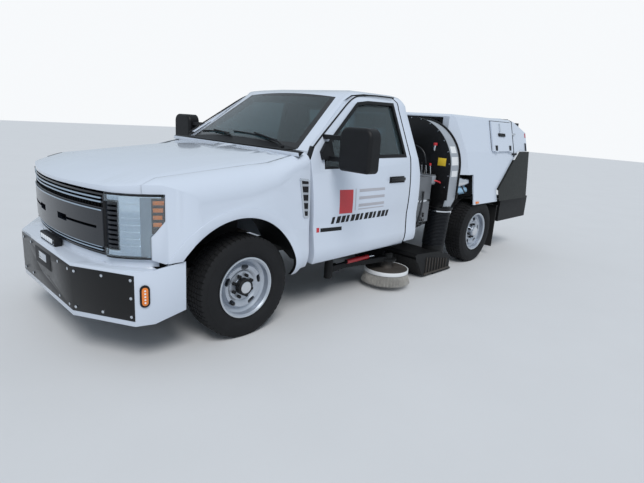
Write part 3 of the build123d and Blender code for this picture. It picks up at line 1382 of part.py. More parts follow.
# Dark side sheets that close the space under the hopper's sloping floor. Each laps the floor's edge and
# stands off the tailgate's side, on a bead along the slope
fairing_lap = 22
fairing_outline = [(3996, hopper_floor_edge + fairing_lap), (slope_end, tail_floor_z - 3),
                   (hopper_tail, tail_floor_z - 3), (4867, 760), (4012, 765)]
bead_outline = [(4000, hopper_floor_edge + fairing_lap), (4470, seam_floor_z - 3), (4490, seam_floor_z - 20),
                (4020, hopper_floor_edge + 4)]
fairing_blank = side_prism(fairing_outline, 500, beyond)
bead_blank = side_prism(bead_outline, 500, beyond)
fairing_face = hopper_section(-fairing_stand_off - fairing_thickness)
fairing_back = hopper_section(-fairing_stand_off)
bead_seat = hopper_section(-running_gap)
with BuildPart() as fairing_bead:
    add(bead_blank)
    add(fairing_face, mode=Mode.INTERSECT)
    add(bead_seat, mode=Mode.SUBTRACT)
with BuildPart() as fairings:
    add(fairing_blank)
    add(fairing_face, mode=Mode.INTERSECT)
    add(fairing_back, mode=Mode.SUBTRACT)
    add(fairing_bead.part)
    mirror(about=Plane.XZ)
save(fairings.part, "side_fairings")

# Hydraulic tank on its tray, with the valve block on its rear face
tank_inner_y = rail_outer + running_gap
with BuildPart() as tank:
    with Locations((back(tank_behind), (tank_inner_y + tank_outer_y) / 2, (tank_bottom + tank_top) / 2)):
        Box(tank_length, tank_outer_y - tank_inner_y, tank_top - tank_bottom)
    fillet(tank.edges().filter_by(Axis.Z), 20)
save(tank.part, "hydraulic_tank")
with BuildPart() as valves:
    with Locations((back(tank_behind + tank_length / 2 + running_gap + valve_block_size[0] / 2), 810, 1090)):
        Box(*valve_block_size)
save(valves.part, "valve_block")
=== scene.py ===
import json
from math import atan2, cos, hypot, pi, radians, sin

import bpy
from mathutils import Matrix, Quaternion, Vector


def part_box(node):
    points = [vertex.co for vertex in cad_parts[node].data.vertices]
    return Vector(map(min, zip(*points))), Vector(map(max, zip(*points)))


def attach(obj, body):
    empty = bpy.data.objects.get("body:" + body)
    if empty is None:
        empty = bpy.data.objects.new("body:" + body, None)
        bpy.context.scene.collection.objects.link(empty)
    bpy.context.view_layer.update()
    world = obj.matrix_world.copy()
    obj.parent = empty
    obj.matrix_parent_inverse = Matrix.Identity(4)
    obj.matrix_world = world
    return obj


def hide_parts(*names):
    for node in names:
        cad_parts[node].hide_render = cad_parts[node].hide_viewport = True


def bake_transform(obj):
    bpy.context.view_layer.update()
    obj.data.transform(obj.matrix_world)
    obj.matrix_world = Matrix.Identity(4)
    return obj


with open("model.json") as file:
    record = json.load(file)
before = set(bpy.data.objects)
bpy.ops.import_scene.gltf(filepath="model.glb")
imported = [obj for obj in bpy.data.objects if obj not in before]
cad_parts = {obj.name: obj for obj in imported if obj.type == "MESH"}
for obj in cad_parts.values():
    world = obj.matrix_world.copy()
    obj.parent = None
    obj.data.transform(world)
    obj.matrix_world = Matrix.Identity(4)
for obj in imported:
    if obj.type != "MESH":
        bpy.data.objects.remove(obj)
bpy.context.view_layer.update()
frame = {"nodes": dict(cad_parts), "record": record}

nodes = frame["nodes"]

# The photograph was taken by hand from in front of the truck's left side, a little above the hood, with
# a wide lens. The floor and the background are plain, and one soft sun stands high on the left
camera_data = bpy.data.cameras.new("camera")
camera_data.lens = 26.79
camera = bpy.data.objects.new("camera", camera_data)
bpy.context.collection.objects.link(camera)
yaw, pitch, roll = -2.3752, -0.2498, 0.0665
view_line = Vector((cos(yaw) * cos(pitch), sin(yaw) * cos(pitch), sin(pitch)))
camera.location = (4.0771, 3.7142, 1.6554)
camera.rotation_mode = "QUATERNION"
camera.rotation_quaternion = view_line.to_track_quat("-Z", "Y") @ Quaternion((0, 0, 1), roll)
bpy.context.scene.camera = camera

sun_data = bpy.data.lights.new("sun", "SUN")
sun_data.energy = 1.9
sun_data.angle = radians(25)
sun_data.color = (1, 0.98, 0.95)
sun = bpy.data.objects.new("sun", sun_data)
sun.rotation_euler = (radians(-32), radians(24), 0)
bpy.context.collection.objects.link(sun)

world = bpy.data.worlds.new("studio")
bpy.context.scene.world = world
world.use_nodes = True
sky = world.node_tree.nodes["Background"]
sky.inputs["Color"].default_value = (0.80, 0.90, 1, 1)
sky.inputs["Strength"].default_value = 0.62
backdrop = world.node_tree.nodes.new("ShaderNodeBackground")
backdrop.inputs["Color"].default_value = (0.93, 0.95, 0.97, 1)
path = world.node_tree.nodes.new("ShaderNodeLightPath")
seen = world.node_tree.nodes.new("ShaderNodeMath")
seen.operation = "MAXIMUM"
either = world.node_tree.nodes.new("ShaderNodeMixShader")
for source, target in (
        (path.outputs["Is Camera Ray"], seen.inputs[0]),
        (path.outputs["Is Transmission Ray"], seen.inputs[1]), (seen.outputs[0], either.inputs[0]),
        (sky.outputs[0], either.inputs[1]), (backdrop.outputs[0], either.inputs[2]),
        (either.outputs[0], world.node_tree.nodes["World Output"].inputs[0])):
    world.node_tree.links.new(source, target)
bpy.context.scene.view_settings.view_transform = "Standard"


# The floor is a plain pale slab under the wheels
finishes = {}


def finish(name, colour, rough, metal=0.0, coat=0.0, mottle=0.06, patch=2.0, grain=0.0, grain_size=900,
           rough_change=0.08, bump_depth=0.0006, shine=0.5, key=None):
    """A procedural finish: a colour with broad soft patches, uneven gloss and a fine grain. It is kept
    under its key, or its name."""
    material = bpy.data.materials.new(name)
    material.use_nodes = True
    tree = material.node_tree
    shader = tree.nodes["Principled BSDF"]
    place = tree.nodes.new("ShaderNodeTexCoord")

    def noise(scale, detail):
        """The strength of a noise texture that is fixed to the object."""
        texture = tree.nodes.new("ShaderNodeTexNoise")
        texture.inputs["Scale"].default_value = scale
        texture.inputs["Detail"].default_value = detail
        tree.links.new(place.outputs["Object"], texture.inputs["Vector"])
        return texture.outputs["Fac"]

    for socket, value in (("Metallic", metal), ("Coat Weight", coat), ("Coat Roughness", 0.06),
                          ("Specular IOR Level", shine)):
        shader.inputs[socket].default_value = value
    # A colour mix takes its two colours at sockets 6 and 7 and gives the mixed one at output 2
    blend = tree.nodes.new("ShaderNodeMix")
    blend.data_type = "RGBA"
    blend.inputs[6].default_value = (*[min(1, part * (1 + mottle)) for part in colour], 1)
    blend.inputs[7].default_value = (*[part * (1 - mottle) for part in colour], 1)
    tree.links.new(noise(patch, 5), blend.inputs[0])
    tree.links.new(blend.outputs[2], shader.inputs["Base Color"])
    gloss = tree.nodes.new("ShaderNodeMapRange")
    gloss.inputs["To Min"].default_value = max(0.02, rough - rough_change)
    gloss.inputs["To Max"].default_value = min(1, rough + rough_change)
    tree.links.new(noise(patch * 9, 6), gloss.inputs["Value"])
    tree.links.new(gloss.outputs[0], shader.inputs["Roughness"])
    if grain:
        bump = tree.nodes.new("ShaderNodeBump")
        bump.inputs["Strength"].default_value = grain
        bump.inputs["Distance"].default_value = bump_depth
        tree.links.new(noise(grain_size, 3), bump.inputs["Height"])
        tree.links.new(bump.outputs[0], shader.inputs["Normal"])
    finishes[key or name] = material
    return material


bpy.ops.mesh.primitive_plane_add(size=80)
floor = bpy.context.object
floor.name = "floor"
floor.data.materials.append(finish("floor", (0.62, 0.63, 0.65), 0.85, mottle=0.03, patch=1.5, grain=0.15,
                                   grain_size=60))


# The cab's outer panels are pressed steel under white enamel with a clear coat, trimmed with black
# plastic inside and lined with black in the wheel arches. Each is the imported node's own form, with its
# edges rounded as a press leaves them
# Painted shade: the white enamel is given a greyer, bluer colour that stands in for the blue sky's shade on
# the truck
paint = finish("sky_shaded_white_enamel", (0.57, 0.63, 0.73), 0.24, coat=0.8, mottle=0.025, patch=0.9, grain=0.02,
               grain_size=40, bump_depth=0.0003, rough_change=0.05, key="body_paint")
black_trim = finish("black_trim", (0.007, 0.0075, 0.009), 0.5, mottle=0.2, patch=6, grain=0.2, grain_size=700,
                    shine=0.25, key="black_plastic")
cabin_trim = finish("cabin_trim", (0.016, 0.017, 0.019), 0.8, mottle=0.15, patch=6, grain=0.4, grain_size=600,
                    shine=0.2)

body_of = {node: body for body, names in frame["record"]["behaviour"]["bodies"].items() for node in names}
front_axle_x = (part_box("tyre_front_left")[0].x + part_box("tyre_front_left")[1].x) / 2


def back(behind):
    """The X in metres of a point so many millimetres behind the front axle."""
    return front_axle_x - behind / 1000


def deselect():
    """Leaves nothing selected."""
    for thing in list(bpy.context.selected_objects):
        thing.select_set(False)


def select_only(piece):
    """Selects one piece and makes it active."""
    deselect()
    piece.select_set(True)
    bpy.context.view_layer.objects.active = piece


def shaped(piece, kind, **settings):
    """Gives the active piece a modifier with its settings and applies it."""
    modifier = piece.modifiers.new(kind.lower(), kind)
    for setting, value in settings.items():
        setattr(modifier, setting, value)
    bpy.ops.object.modifier_apply(modifier=modifier.name)


def edit_all():
    """Enters edit mode with everything selected."""
    bpy.ops.object.mode_set(mode="EDIT")
    bpy.ops.mesh.select_all(action="SELECT")


def merged_copy(node, name):
    """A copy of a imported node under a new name, with its triangles merged into whole faces."""
    piece = bpy.data.objects.new(name, nodes[node].data.copy())
    bpy.context.collection.objects.link(piece)
    select_only(piece)
    edit_all()
    bpy.ops.mesh.customdata_custom_splitnormals_clear()
    bpy.ops.mesh.remove_doubles(threshold=0.00002)
    bpy.ops.mesh.dissolve_limited(angle_limit=radians(0.6))
    bpy.ops.object.mode_set(mode="OBJECT")
    return piece


def dressed(node, materials, width=0.003, angle=38, smooth=38, choose=None):
    """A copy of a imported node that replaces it: each face given its finish, and the edges rounded."""
    piece = merged_copy(node, f"{node}_finished")
    piece.data.materials.clear()
    for material in materials:
        piece.data.materials.append(material)
    if choose:
        for face in piece.data.polygons:
            face.material_index = choose(face.center, face.normal)
    shaped(piece, "BEVEL", width=width, segments=2, limit_method="ANGLE", angle_limit=radians(angle))
    bpy.ops.object.shade_smooth_by_angle(angle=radians(smooth))
    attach(piece, body_of[node])
    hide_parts(node)
    return piece


def faces_cabin(centre, normal):
    """Which finish a cab face has: 1 if it looks into the cabin or down at the road, 2 on the cowl."""
    if centre.x > back(640) and 1.36 < centre.z < 1.47 and normal.z > 0.3:
        return 2
    cabin_middle = Vector((back(1300), 0, 1.25))
    inside = normal.dot(cabin_middle - centre) > 0.02 and back(2090) < centre.x < back(480)
    return 1 if inside or (normal.z < -0.7 and centre.z < 0.8) else 0


def faces_wheel(centre, normal):
    """Whether a face of a fender looks into the wheel arch or the engine bay."""
    arch_x, arch_z, lining_reach = back(-80), 0.40, 0.64
    spoke = Vector((centre.x - arch_x, 0, centre.z - arch_z))
    lined = spoke.length < lining_reach and normal.dot(spoke.normalized()) < -0.3
    return 1 if lined or normal.y * centre.y < -0.05 else 0


def faces_engine(centre, normal):
    """Whether a face of the hood is on its underside."""
    return 1 if normal.z < -0.3 else 0


def behind_grille(centre, normal):
    """Whether a face of the bumper is behind its middle or is the shelf's top edge."""
    return 1 if centre.x < back(-700) and abs(centre.y) < 0.6 or centre.z > 0.692 else 0


panels = {}
for node in ("cab_shell", "door_left", "door_right"):
    panels[node] = dressed(node, [paint, cabin_trim, black_trim], choose=faces_cabin)
for node in ("fender_left", "fender_right"):
    panels[node] = dressed(node, [paint, black_trim], smooth=30, choose=faces_wheel)
panels["hood"] = dressed("hood", [paint, black_trim], smooth=30, choose=faces_engine)
panels["front_bumper"] = dressed("front_bumper", [paint, black_trim], 0.006,
                                 choose=behind_grille)
# The hopper's sides bend by only a few degrees at their crease, so they are split at a small angle
for node in ("hopper", "tailgate", "access_door"):
    panels[node] = dressed(node, [paint], 0.005, angle=4, smooth=4)


# Grille trims: two thin pale slats over the broad bar and two under it, moulded plastic bars clipped to
# the grille's face along the nose's bow, with upright fins behind the upper pair
finish("slat_silver", (0.34, 0.43, 0.53), 0.3, metal=0.4, coat=0.4, patch=10)
sides = ((1, "left"), (-1, "right"))
upward = Vector((0, 0, 1))


def arc(start, middle, end, count):
    """Points of the arc through three points in the plan."""
    (ax, ay), (bx, by), (cx, cy) = start, middle, end
    twice = 2 * (ax * (by - cy) + bx * (cy - ay) + cx * (ay - by))
    a_far, b_far, c_far = [x ** 2 + y ** 2 for x, y in (start, middle, end)]
    ux = (a_far * (by - cy) + b_far * (cy - ay) + c_far * (ay - by)) / twice
    uy = (a_far * (cx - bx) + b_far * (ax - cx) + c_far * (bx - ax)) / twice
    radius = hypot(ax - ux, ay - uy)
    first = atan2(ay - uy, ax - ux)
    turn = (atan2(cy - uy, cx - ux) - first + pi) % (2 * pi) - pi
    angles = [first + turn * number / count for number in range(count + 1)]
    return [(ux + radius * cos(angle), uy + radius * sin(angle)) for angle in angles]


def along_nose(inset, y_low, y_high):
    """The nose's plan on the left, so many millimetres inside the skin, between two distances from the
    middle, with its exact ends."""
    corner = (-720 + 0.6 * inset, 915 - 0.8 * inset)
    front = (-900 + inset, 735 - 0.5 * inset)
    plan = arc((-350, 1020 - inset), (-560 + 0.3 * inset, 985 - inset), corner, 10)
    plan += arc(corner, (-828 + 0.8 * inset, 826 - 0.6 * inset), front, 10)[1:]
    plan += arc(front, (-984 + inset, 380), (-1012 + inset, 0), 14)[1:]
    line = [Vector((back(behind), y / 1000)) for behind, y in plan]
    found = []
    for first, last in zip(line, line[1:]):
        for limit in (y_high, y_low):
            if first.y > limit > last.y:
                found.append(first.lerp(last, (first.y - limit) / (first.y - last.y)))
        if y_low <= last.y <= y_high:
            found.append(last.copy())
    return sorted(found, key=lambda point: -point.y)


def settle(piece, name, key, edge=0.0, smooth=30, body="chassis"):
    """Names a new piece, eases its edges, and gives it its finish and body."""
    select_only(piece)
    piece.name = name
    piece.data.name = name
    piece.data.materials.clear()
    piece.data.materials.append(finishes[key])
    if edge:
        shaped(piece, "BEVEL", width=edge, segments=2, limit_method="ANGLE", angle_limit=radians(32))
    bpy.ops.object.shade_smooth_by_angle(angle=radians(smooth))
    if body:
        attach(piece, body)
    return piece


def outline_mesh(points, fill="NGON"):
    """A mesh of one closed line of points, filled or left open."""
    bpy.ops.mesh.primitive_circle_add(vertices=len(points), radius=1, fill_type=fill)
    piece = bpy.context.object
    for vertex, point in zip(piece.data.vertices, points):
        vertex.co = point
    return piece


def face_outwards(piece, merge=0.0):
    """Turns a piece's faces outwards, with points that meet merged first."""
    select_only(piece)
    edit_all()
    if merge:
        bpy.ops.mesh.remove_doubles(threshold=merge)
    bpy.ops.mesh.normals_make_consistent(inside=False)
    bpy.ops.object.mode_set(mode="OBJECT")


def board(name, outline, push, key, edge=0.0015):
    """A flat piece of the chassis: its outline filled, pushed out to its thickness and eased."""
    piece = outline_mesh(outline)
    edit_all()
    bpy.ops.mesh.extrude_region_move(TRANSFORM_OT_translate={"value": push})
    bpy.ops.object.mode_set(mode="OBJECT")
    face_outwards(piece)
    return settle(piece, name, key, edge)


def nose_bar(name, y_low, y_high, inset, depth, z_low, z_high, key, hand=1, edge=0.0015):
    """A bar that follows the nose's bow between two distances from the middle."""
    line = along_nose(inset, y_low, y_high) + along_nose(inset + depth, y_low, y_high)[::-1]
    outline = [(point.x, hand * point.y, z_low) for point in line]
    return board(name, outline, (0, 0, z_high - z_low), key, edge)


def whole_bar(name, half, inset, depth, z_low, z_high):
    """A pale bar that follows the nose's bow from one side to the other."""
    front = along_nose(inset, 0, half)
    rear = along_nose(inset + depth, 0, half)
    line = [(p.x, p.y) for p in front] + [(p.x, -p.y) for p in front[-2::-1]]
    line += [(p.x, -p.y) for p in rear] + [(p.x, p.y) for p in rear[-2::-1]]
    board(name, [(x, y, z_low) for x, y in line], (0, 0, z_high - z_low), "slat_silver")


def cube(low, high):
    """A plain box between two corners."""
    bpy.ops.mesh.primitive_cube_add(size=1)
    piece = bpy.context.object
    for vertex in piece.data.vertices:
        vertex.co = [low[axis] if vertex.co[axis] < 0 else high[axis] for axis in range(3)]
    return piece


def joined(pieces):
    """Joins pieces into the first of them."""
    deselect()
    for piece in pieces:
        piece.select_set(True)
    bpy.context.view_layer.objects.active = pieces[0]
    bpy.ops.object.join()
    return pieces[0]


# Slats: lower edge, upper edge, how far inside the nose's skin
slats = [(1.083, 1.0935, 6), (1.058, 1.068, 7), (0.767, 0.7755, 4), (0.7455, 0.7535, 8)]
for number, (z_low, z_high, inset) in enumerate(slats):
    whole_bar(f"grille_slat_{number + 1}", 0.655, inset, 8, z_low, z_high)
whole_bar("grille_bar_lip", 0.672, -1.5, 6, 1.008, 1.0165)
for hand, side in sides:
    nose_bar(f"grille_frame_{side}", 0.679, 0.697, 6, 12, 0.778, 1.08, "black_plastic", hand)
fins = []
for number in range(-20, 21):
    y = number * 0.032
    x = along_nose(30, abs(y) - 0.0005, abs(y) + 0.0005)[0].x if number else back(-982)
    fins.append(cube((x - 0.008, y - 0.0015, 1.0275), (x + 0.008, y + 0.0015, 1.0565)))
settle(joined(fins), "grille_fins", "black_plastic", 0.0006)


# Headlamps: a clear moulded lens over a ribbed reflector, a broad upright silver bar, and a dark amber
# section with four lit bars at the outer end. The lens is welded to the housing all round
def tinted_glass(name, colour, clear=0.9, bend=1.45):
    """A pane of glass with a body tint."""
    material = finish(name, colour, 0.02, patch=3, rough_change=0.01)
    shader = material.node_tree.nodes["Principled BSDF"]
    shader.inputs["Transmission Weight"].default_value = clear
    shader.inputs["IOR"].default_value = bend
    return material


tinted_glass("lamp_lens", (0.82, 0.90, 0.97), clear=0.95, bend=1.3)
finish("chrome", (0.62, 0.66, 0.71), 0.12, metal=1.0, patch=15, rough_change=0.04)
finish("polished_steel", (0.72, 0.74, 0.77), 0.16, metal=1.0, patch=12, key="steel_rod")
finish("light_grey", (0.30, 0.33, 0.37), 0.42, coat=0.2, mottle=0.12, patch=8, grain=0.2)
finish("brown_plastic", (0.045, 0.022, 0.012), 0.3, coat=0.5, patch=12, grain=0.2)
finish("amber_lens", (0.75, 0.20, 0.02), 0.2, coat=0.8, patch=30, grain=0.5, grain_size=300)
for hand, side in sides:
    node = f"headlamp_{side}"
    reflector = merged_copy(node, f"headlamp_reflector_{side}")
    edit_all()
    bpy.ops.transform.shrink_fatten(value=-0.011, use_even_offset=True)
    bpy.ops.object.mode_set(mode="OBJECT")
    settle(reflector, f"headlamp_reflector_{side}", "chrome", 0.003)
    lens = merged_copy(node, f"headlamp_lens_{side}")
    shaped(lens, "SOLIDIFY", thickness=0.003, offset=-1)
    settle(lens, f"headlamp_lens_{side}", "lamp_lens")
    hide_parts(node)
    nose_bar(f"headlamp_bar_{side}", 0.877, 0.914, 5, 8, 0.735, 1.115, "light_grey", hand, 0.003)
    nose_bar(f"headlamp_amber_back_{side}", 0.915, 0.950, 6, 6, 0.885, 1.112, "brown_plastic", hand)
    for number in range(4):
        z = 1.082 - 0.046 * number
        nose_bar(f"headlamp_amber_{side}_{number + 1}", 0.921, 0.9485 - 0.002 * number, 4, 4, z - 0.013,
                 z + 0.013, "amber_lens", hand)
    for number in range(7):
        z = 0.80 + 0.045 * number
        nose_bar(f"headlamp_rib_{side}_{number + 1}", 0.79, 0.872, 8, 5, z - 0.003, z + 0.003, "steel_rod",
                 hand)
    nose_bar(f"headlamp_bezel_top_{side}", 0.702, 0.952, 0.6, 5, 1.121, 1.1305, "black_plastic", hand)
    nose_bar(f"headlamp_bezel_low_{side}", 0.702, 0.914, 0.6, 5, 0.7175, 0.7255, "black_plastic", hand)


# Front bumper: a folded steel shell with a black sheet bolted over its face, a dark backing for a blank
# plate with its bright hanger, a small lamp bar on the shelf and oval markers on the wings
finish("gloss_black", (0.005, 0.005, 0.0055), 0.32, coat=0.1, mottle=0.2, patch=3, grain=0.1, shine=0.3,
       key="black_gloss")
finish("chassis_enamel", (0.008, 0.0085, 0.0095), 0.55, mottle=0.3, patch=5, grain=0.3, shine=0.25,
       key="chassis_black")
finish("led_white", (0.80, 0.83, 0.86), 0.15, coat=0.8, patch=40, grain=0.4, grain_size=200)


def studs(name, places, radius, height, key, sides=6, body="chassis"):
    """Bolt heads: a copy at each place, pointing its own way, and all joined into one piece."""
    heads = []
    for point, direction in places:
        bpy.ops.mesh.primitive_cylinder_add(vertices=sides, radius=radius, depth=height)
        head = bpy.context.object
        aim = Vector(direction).normalized()
        turn = aim.to_track_quat("Z", "Y").to_matrix().to_4x4()
        head.data.transform(Matrix.Translation(Vector(point) + aim * (height / 2)) @ turn)
        heads.append(head)
    return settle(joined(heads), name, key, 0.2 * min(radius, height), body=body)


def block(name, corner, opposite, key, edge=0.003, body="chassis"):
    """A squared piece between two opposite corners, with its edges rounded."""
    low, high = zip(*[sorted(pair) for pair in zip(corner, opposite)])
    return settle(cube(low, high), name, key, edge, body=body)


# The sheet is let into the shell so that its bolts stay inside the bumper's real depth
skin = dressed("bumper_skin", [finishes["black_gloss"]], 0.0015)
skin.data.transform(Matrix.Translation((-0.0055, 0, 0)))
skin_front = back(-1079.5)
facet_start = Vector((skin_front, 0.537, 0))
facet_run = Vector((back(-847.5), 0.949, 0)) - facet_start
bolt_low, bolt_high = 0.365, 0.61
bolt_places = [((skin_front, y, z), (1, 0, 0)) for y in (-0.49, -0.30, 0.30, 0.49)
               for z in (bolt_low, bolt_high)]
for hand, side in sides:
    for share, extra in ((0.06, ()), (0.5, ()), (0.95, (0.49,))):
        spot = facet_start + facet_run * share
        bolt_places += [((spot.x, hand * spot.y, z), (facet_run.y, -hand * facet_run.x, 0))
                        for z in (bolt_low, *extra, bolt_high)]
studs("bumper_bolts", bolt_places, 0.011, 0.005, "chrome")
block("plate_recess", (skin_front, -0.20, 0.49), (skin_front + 0.0015, 0.14, 0.61), "chassis_black", 0.0005)
block("plate_hanger", (skin_front + 0.0015, -0.11, 0.545), (skin_front + 0.004, 0.05, 0.59), "chrome", 0.001)
block("plate_hanger_lip", (skin_front + 0.001, -0.11, 0.535), (skin_front + 0.005, 0.05, 0.5455), "steel_rod",
      0.001)

bar_x, bar_y, bar_low = back(-1022), -0.03, 0.6623
block("light_bar", (bar_x - 0.028, bar_y - 0.16, bar_low), (bar_x + 0.022, bar_y + 0.16, bar_low + 0.06),
      "black_plastic", 0.008)
for number in range(6):
    y = bar_y - 0.118 + 0.0425 * number
    block(f"light_bar_led_{number + 1}", (bar_x + 0.020, y - 0.018, bar_low + 0.014),
          (bar_x + 0.026, y + 0.018, bar_low + 0.048), "led_white", 0.003)
bar_bolts = [((bar_x + 0.022, bar_y + 0.142, bar_low + rise), (1, 0, 0)) for rise in (0.044, 0.016)]
studs("light_bar_bolts", bar_bolts, 0.006, 0.004, "chrome")


def slot_outline(middle, across, length, width):
    """An upright slot's outline about a middle: two half circles joined by straight sides."""
    outline = []
    steps = 8
    for end in (1, -1):
        for number in range(steps + 1):
            angle = pi * number / steps
            outline.append(middle + across * (end * cos(angle) * width / 2)
                           + upward * (end * ((length - width) / 2 + sin(angle) * width / 2)))
    return outline


# Under the markers the wing widens from 946 to 979 mm, between 846 and 728 mm in front of the axle
wing_angle = atan2(979 - 946, 846 - 728)
for hand, side in sides:
    out = Vector((sin(wing_angle), hand * cos(wing_angle), 0))
    along = Vector((cos(wing_angle), -hand * sin(wing_angle), 0))
    middle = Vector((back(-787), hand * 0.9635, 0.5))
    grommet = board(f"marker_grommet_{side}", slot_outline(middle, along, 0.15, 0.062), out * 0.010,
                    "black_plastic", 0.003)
    if side == "left":
        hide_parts("front_lamps")
    board(f"marker_lens_{side}", slot_outline(middle + out * 0.008, along, 0.122, 0.040), out * 0.008,
          "amber_lens", 0.003)
    dots = [(middle + out * 0.0155 + upward * (0.02 * number), out) for number in range(-2, 3)]
    studs(f"marker_dots_{side}", dots, 0.006, 0.0015, "led_white", 10)


# Windscreen: bonded glass with a dark printed border, a black cowl panel under it and two wiper arms
screen_foot = Vector((back(600), 0, 1.400))
screen_lean = atan2(445, 625)
screen_up = Vector((-cos(screen_lean), 0, sin(screen_lean)))
screen_out = Vector((sin(screen_lean), 0, cos(screen_lean)))


def on_screen(along, y, out=0.0):
    """A point on the bowed windscreen: how far up the slope, how far left, how far off the glass."""
    bow = 0.055 * (1 - (y / 0.79) ** 2)
    return screen_foot + screen_up * along + screen_out * (bow + out) + Vector((0, y, 0))


def bordered_glass():
    """Tinted glass whose edge is covered by black print."""
    material = tinted_glass("windscreen_glass", (0.13, 0.19, 0.21))
    tree = material.node_tree
    place = tree.nodes.new("ShaderNodeTexCoord")
    parts = tree.nodes.new("ShaderNodeSeparateXYZ")
    tree.links.new(place.outputs["Object"], parts.inputs[0])

    def maths(operation, *values):
        """The output of one maths node over values, each a number or another node's output."""
        node = tree.nodes.new("ShaderNodeMath")
        node.operation = operation
        for index, value in enumerate(values):
            if isinstance(value, float):
                node.inputs[index].default_value = value
            else:
                tree.links.new(value, node.inputs[index])
        return node.outputs[0]

    half = maths("ADD", maths("MULTIPLY", parts.outputs["Z"], -0.382), 1.275)
    beside = maths("GREATER_THAN", maths("ABSOLUTE", parts.outputs["Y"]), half)
    under = maths("LESS_THAN", parts.outputs["Z"], 1.452)
    over = maths("GREATER_THAN", parts.outputs["Z"], 1.852)
    border = tree.nodes.new("ShaderNodeBsdfPrincipled")
    border.inputs["Base Color"].default_value = (0.008, 0.008, 0.009, 1)
    border.inputs["Roughness"].default_value = 0.12
    mixed = tree.nodes.new("ShaderNodeMixShader")
    tree.links.new(maths("MAXIMUM", maths("MAXIMUM", beside, under), over), mixed.inputs[0])
    tree.links.new(tree.nodes["Principled BSDF"].outputs[0], mixed.inputs[1])
    tree.links.new(border.outputs[0], mixed.inputs[2])
    tree.links.new(mixed.outputs[0], tree.nodes["Material Output"].inputs["Surface"])
    return material


def tube(name, points, radius, key, smooth=True, body="chassis"):
    """A round bar or hose along a line of points, with closed ends."""
    curve = bpy.data.curves.new(name, "CURVE")
    curve.dimensions = "3D"
    line = curve.splines.new("NURBS" if smooth else "POLY")
    line.points.add(len(points) - 1)
    for place, point in zip(line.points, points):
        place.co = (*point, 1)
    if smooth:
        line.order_u = 3
        line.use_endpoint_u = True
        line.resolution_u = 5
    curve.bevel_depth = radius
    curve.bevel_resolution = 3
    curve.use_fill_caps = True
    piece = bpy.data.objects.new(name, curve)
    bpy.context.collection.objects.link(piece)
    select_only(piece)
    bpy.ops.object.convert(target="MESH")
    piece = bpy.context.object
    face_outwards(piece, 0.00005)
    return settle(piece, name, key, smooth=45, body=body)


for slot in nodes["windshield"].material_slots:
    slot.material = bordered_glass()
cowl = [(back(474), 0.70, 1.397), (back(474), -0.70, 1.397)]
cowl += [(on_screen(0, y).x + 0.002, y, 1.403) for y in (-0.79, -0.6, -0.4, -0.2, 0, 0.2, 0.4, 0.6, 0.79)]
board("cowl_panel", cowl, (0, 0, 0.005), "black_plastic")

# Wipers: where the pivot stands, where the arm meets the blade, the blade's two ends
wipers = [(0.66, (0.075, 0.20), (0.045, 0.52), (0.075, -0.12)),
          (-0.02, (0.075, -0.46), (0.045, -0.16), (0.085, -0.72))]
for number, (pivot_y, joint, low_end, high_end) in enumerate(wipers):
    pivot = Vector((back(560), pivot_y, 1.403))
    arm = [pivot, pivot + upward * 0.02, on_screen(0.03, pivot_y - 0.12, 0.022), on_screen(*joint, 0.018)]
    tube(f"wiper_arm_{number + 1}", arm, 0.007, "black_plastic")
    blade = [on_screen(*low_end, 0.008), on_screen(*joint, 0.010), on_screen(*high_end, 0.008)]
    tube(f"wiper_blade_{number + 1}", blade, 0.006, "black_plastic")
    studs(f"wiper_pivot_{number + 1}", [(pivot, upward)], 0.016, 0.022, "black_plastic", 16)


# Doors: a black rubber frame round the window, a black pull in its recess, a thin roof moulding, and a
# plain graphic of red, grey and black film on each side
finish("red_paint", (0.50, 0.02, 0.03), 0.4, coat=0.3, mottle=0.1, patch=9, grain=0.2)
finish("pale_print", (0.40, 0.40, 0.44), 0.4, mottle=0.05, patch=12, grain=0.1)


def cab_side(z):
    """How far the cab's side stands from the middle at a height above the crease."""
    if z > 1.335:
        return 0.978 - 0.385 * (z - 1.335)
    share = (z - 0.79) / (1.335 - 0.79)
    return 1.007 - 0.029 * share + 0.045 * share * (1 - share)


def placed(points):
    """Points given as millimetres behind the front axle and height, as X and Z in metres."""
    return [(back(behind), z / 1000) for behind, z in points]


def side_outline(points, hand, ring):
    """A filled outline that faces outwards, left in edit mode; with ring, only a band of that width."""
    piece = outline_mesh(points)
    piece.data.update()
    if piece.data.polygons[0].normal.y * hand < 0:
        piece.data.flip_normals()
    edit_all()
    if ring:
        bpy.ops.mesh.inset(thickness=ring, depth=0)
        bpy.ops.mesh.delete(type="FACE")
    return piece


def laid(name, points, target, key, hand=1, thick=0.001, ring=0.0, cut=0.05, lift=0.0004,
         body="chassis"):
    """A thin shape laid on a panel's outer side, cut every so often so that it follows the panel."""
    outline = placed(points)
    piece = side_outline([(x, hand * 1.3, z) for x, z in outline], hand, ring)
    for values, normal in (([z for x, z in outline], upward), ([x for x, z in outline], Vector((1, 0, 0)))):
        low, high = min(values), max(values)
        steps = int((high - low) / cut)
        for step in range(1, steps + 1):
            bpy.ops.mesh.select_all(action="SELECT")
            bpy.ops.mesh.bisect(plane_co=normal * (low + (high - low) * step / (steps + 1)), plane_no=normal)
    bpy.ops.object.mode_set(mode="OBJECT")
    shaped(piece, "SHRINKWRAP", target=target, wrap_method="PROJECT", use_project_y=True,
           use_positive_direction=hand < 0, use_negative_direction=hand > 0)
    for vertex in piece.data.vertices:
        vertex.co.y += hand * lift
    shaped(piece, "SOLIDIFY", thickness=thick, offset=1)
    return settle(piece, name, key, body=body)


